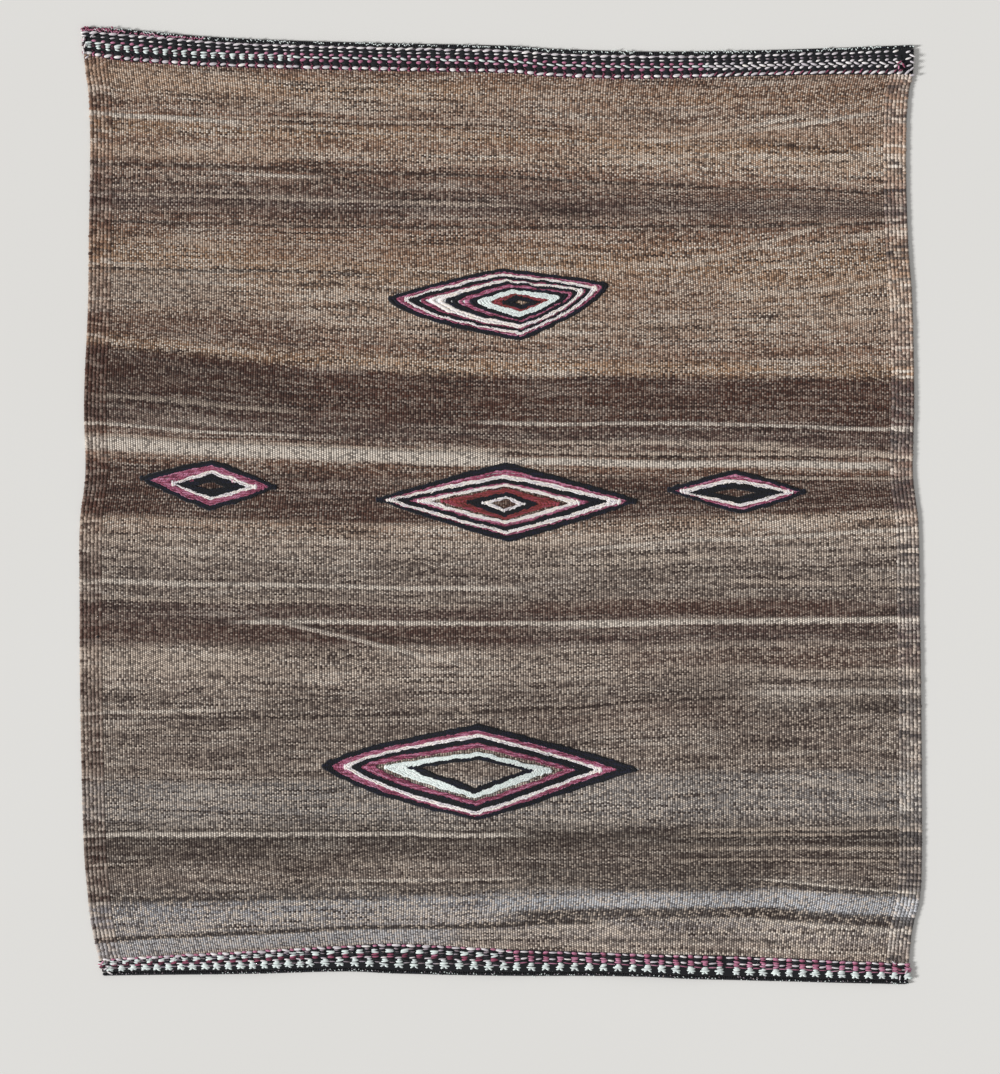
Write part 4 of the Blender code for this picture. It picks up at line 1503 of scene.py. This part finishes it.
def wrapped_ring(node, wool, outer, inner, seed, wrapping, materials):
    """One ring of wrapped wool, in as many strands side by side as its width takes."""
    gaps = [math.dist(a, b) for a, b in zip(outer, inner)]
    strands = max(1, round(float(np.median(gaps)) / YARN_WIDTH))
    crowding = CROWDING[wool]
    chance = np.random.default_rng(seed)
    points, edges, widths, plies = [], [], [], []
    for strand in range(strands):
        first, ply = len(points), chance.random()
        line = [between(a, b, (strand + 0.5) / strands) for a, b in zip(outer, inner)]
        for k, (x, y) in enumerate(line):
            points.append((x, y, float(lift(x, y)) + THICKNESS + crowding.over * MM))
            before, after = line[k - 1], line[(k + 1) % len(line)]
            along = np.subtract(after, before)
            span = np.subtract(inner[k], outer[k])
            across = abs(along[0] * span[1] - along[1] * span[0]) / max(np.hypot(*along), 1e-6)
            widths.append(min(across / strands * WRAP_OVERLAP + crowding.spread * MM, WIDEST_WRAP))
            plies.append(ply)
            edges.append((first + k, first + (k + 1) % len(line)))
    settings = {
        "Spacing": WRAP_SPACING,
        "Length": WRAP_LENGTH,
        "Core": 0.8,
        "Height": WRAP_HEIGHT,
        "Slant": 0.1,
        "Turn": 0.28,
        "Unevenness": 0.28,
        "Drift": 0.75 * MM,
        "Seed": seed,
        "Wool": materials[wool],
    }
    numbers = {"width": widths, "ply": plies}
    piece = grown(f"{node}_wraps", points, edges, numbers, wrapping, settings)
    lay_bed(piece.data, outer, inner)
    return hand_over(piece, WOOLS[wool].slot, node)


def wrapped_lozenge(lozenge, wrapping, materials):
    travelled = (0, 0, 0, 0)
    for number, ring in enumerate(lozenge.rings, start=1):
        reached = tuple(done + width for done, width in zip(travelled, ring[1:]))
        if ring.wool != GROUND:
            outer, inner = lozenge_loop(lozenge, travelled), lozenge_loop(lozenge, reached)
            node = f"{lozenge.name}_ring_{number}_{ring.wool}"
            wool = OTHER_WOOLS.get(node, ring.wool)
            wrapped_ring(node, wool, outer, inner, SEED + number, wrapping, materials)
        travelled = reached


# The room: a pale floor, soft light and a camera straight above
CAMERA_OVER = (-0.7 * MM, -45.4 * MM)
VIEW_ROWS = 1074
VIEW_PIXEL = 1.45 * MM
VIEW_HEIGHT = VIEW_ROWS * VIEW_PIXEL
LENS = 85
SENSOR = 36
FLOOR_REACH = 3.0
FLOOR_CORNERS = ((-1, -1), (1, -1), (1, 1), (-1, 1))
FLOOR_LEVEL = -0.5 * MM


def set_up_room():
    mesh = bpy.data.meshes.new("floor")
    corners = [(x * FLOOR_REACH, y * FLOOR_REACH, FLOOR_LEVEL) for x, y in FLOOR_CORNERS]
    mesh.from_pydata(corners, [], [(0, 1, 2, 3)])

    def floor_graph(graph, surface):
        grain = graph.add("ShaderNodeTexNoise", None, {"Scale": 6.0, "Detail": 4.0})
        colour = graph.mix(shade(226, 224, 220), shade(232, 231, 228), grain)
        feed(graph, surface, Base_Color=colour)

    mesh.materials.append(finished("pale floor", floor_graph))
    floor = bpy.data.objects.new("floor", mesh)
    bpy.context.scene.collection.objects.link(floor)
    floor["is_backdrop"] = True

    sun = bpy.data.lights.new("window light", "SUN")
    sun.energy = 4.2
    sun.angle = math.radians(12)
    lamp = bpy.data.objects.new("window light", sun)
    lamp.rotation_euler = (math.radians(10), math.radians(-66), 0)
    bpy.context.scene.collection.objects.link(lamp)

    world = bpy.data.worlds.new("soft room")
    world.use_nodes = True
    world.node_tree.nodes["Background"].inputs["Color"].default_value = (1, 1, 1, 1)
    world.node_tree.nodes["Background"].inputs["Strength"].default_value = 0.4
    bpy.context.scene.world = world
    bpy.context.scene.view_settings.view_transform = "Standard"

    camera = bpy.data.cameras.new("camera")
    camera.lens = LENS
    camera.sensor_width = SENSOR
    eye = bpy.data.objects.new("camera", camera)
    eye.location = (*CAMERA_OVER, THICKNESS + VIEW_HEIGHT * LENS / SENSOR)
    bpy.context.scene.collection.objects.link(eye)
    bpy.context.scene.camera = eye
    return floor


def dress_sofreh():
    # The noise that moves the lozenges' points follows the clock until it is given a seed
    mathutils.noise.seed_set(SEED)
    floor = set_up_room()
    camel = finished("camel ground", camel_graph)
    cords = finished("selvedge wool", selvedge_graph)
    materials = {name: finished(f"{name} wool", yarn_graph(wool)) for name, wool in WOOLS.items()}
    wrapping, laying = wrapping_tree(), float_tree()
    cloth = woven_cloth(camel)
    selvedge("left_selvedge_turns", left_edge, 1, wrapping, cords)
    selvedge("right_selvedge_turns", right_edge, -1, wrapping, cords)
    for end, stretches in zip(ENDS, (TOP_STRETCHES, BOTTOM_STRETCHES)):
        band_ground(end, materials["navy"])
        band_floats(end, stretches, laying, materials)
        overcast_end(end, wrapping, materials)
    caught_ends(laying, materials)
    stray_floats(laying, materials)
    for lozenge in LOZENGES:
        wrapped_lozenge(lozenge, wrapping, materials)
    others = [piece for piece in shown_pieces() if piece != cloth]


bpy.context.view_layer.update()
dress_sofreh()
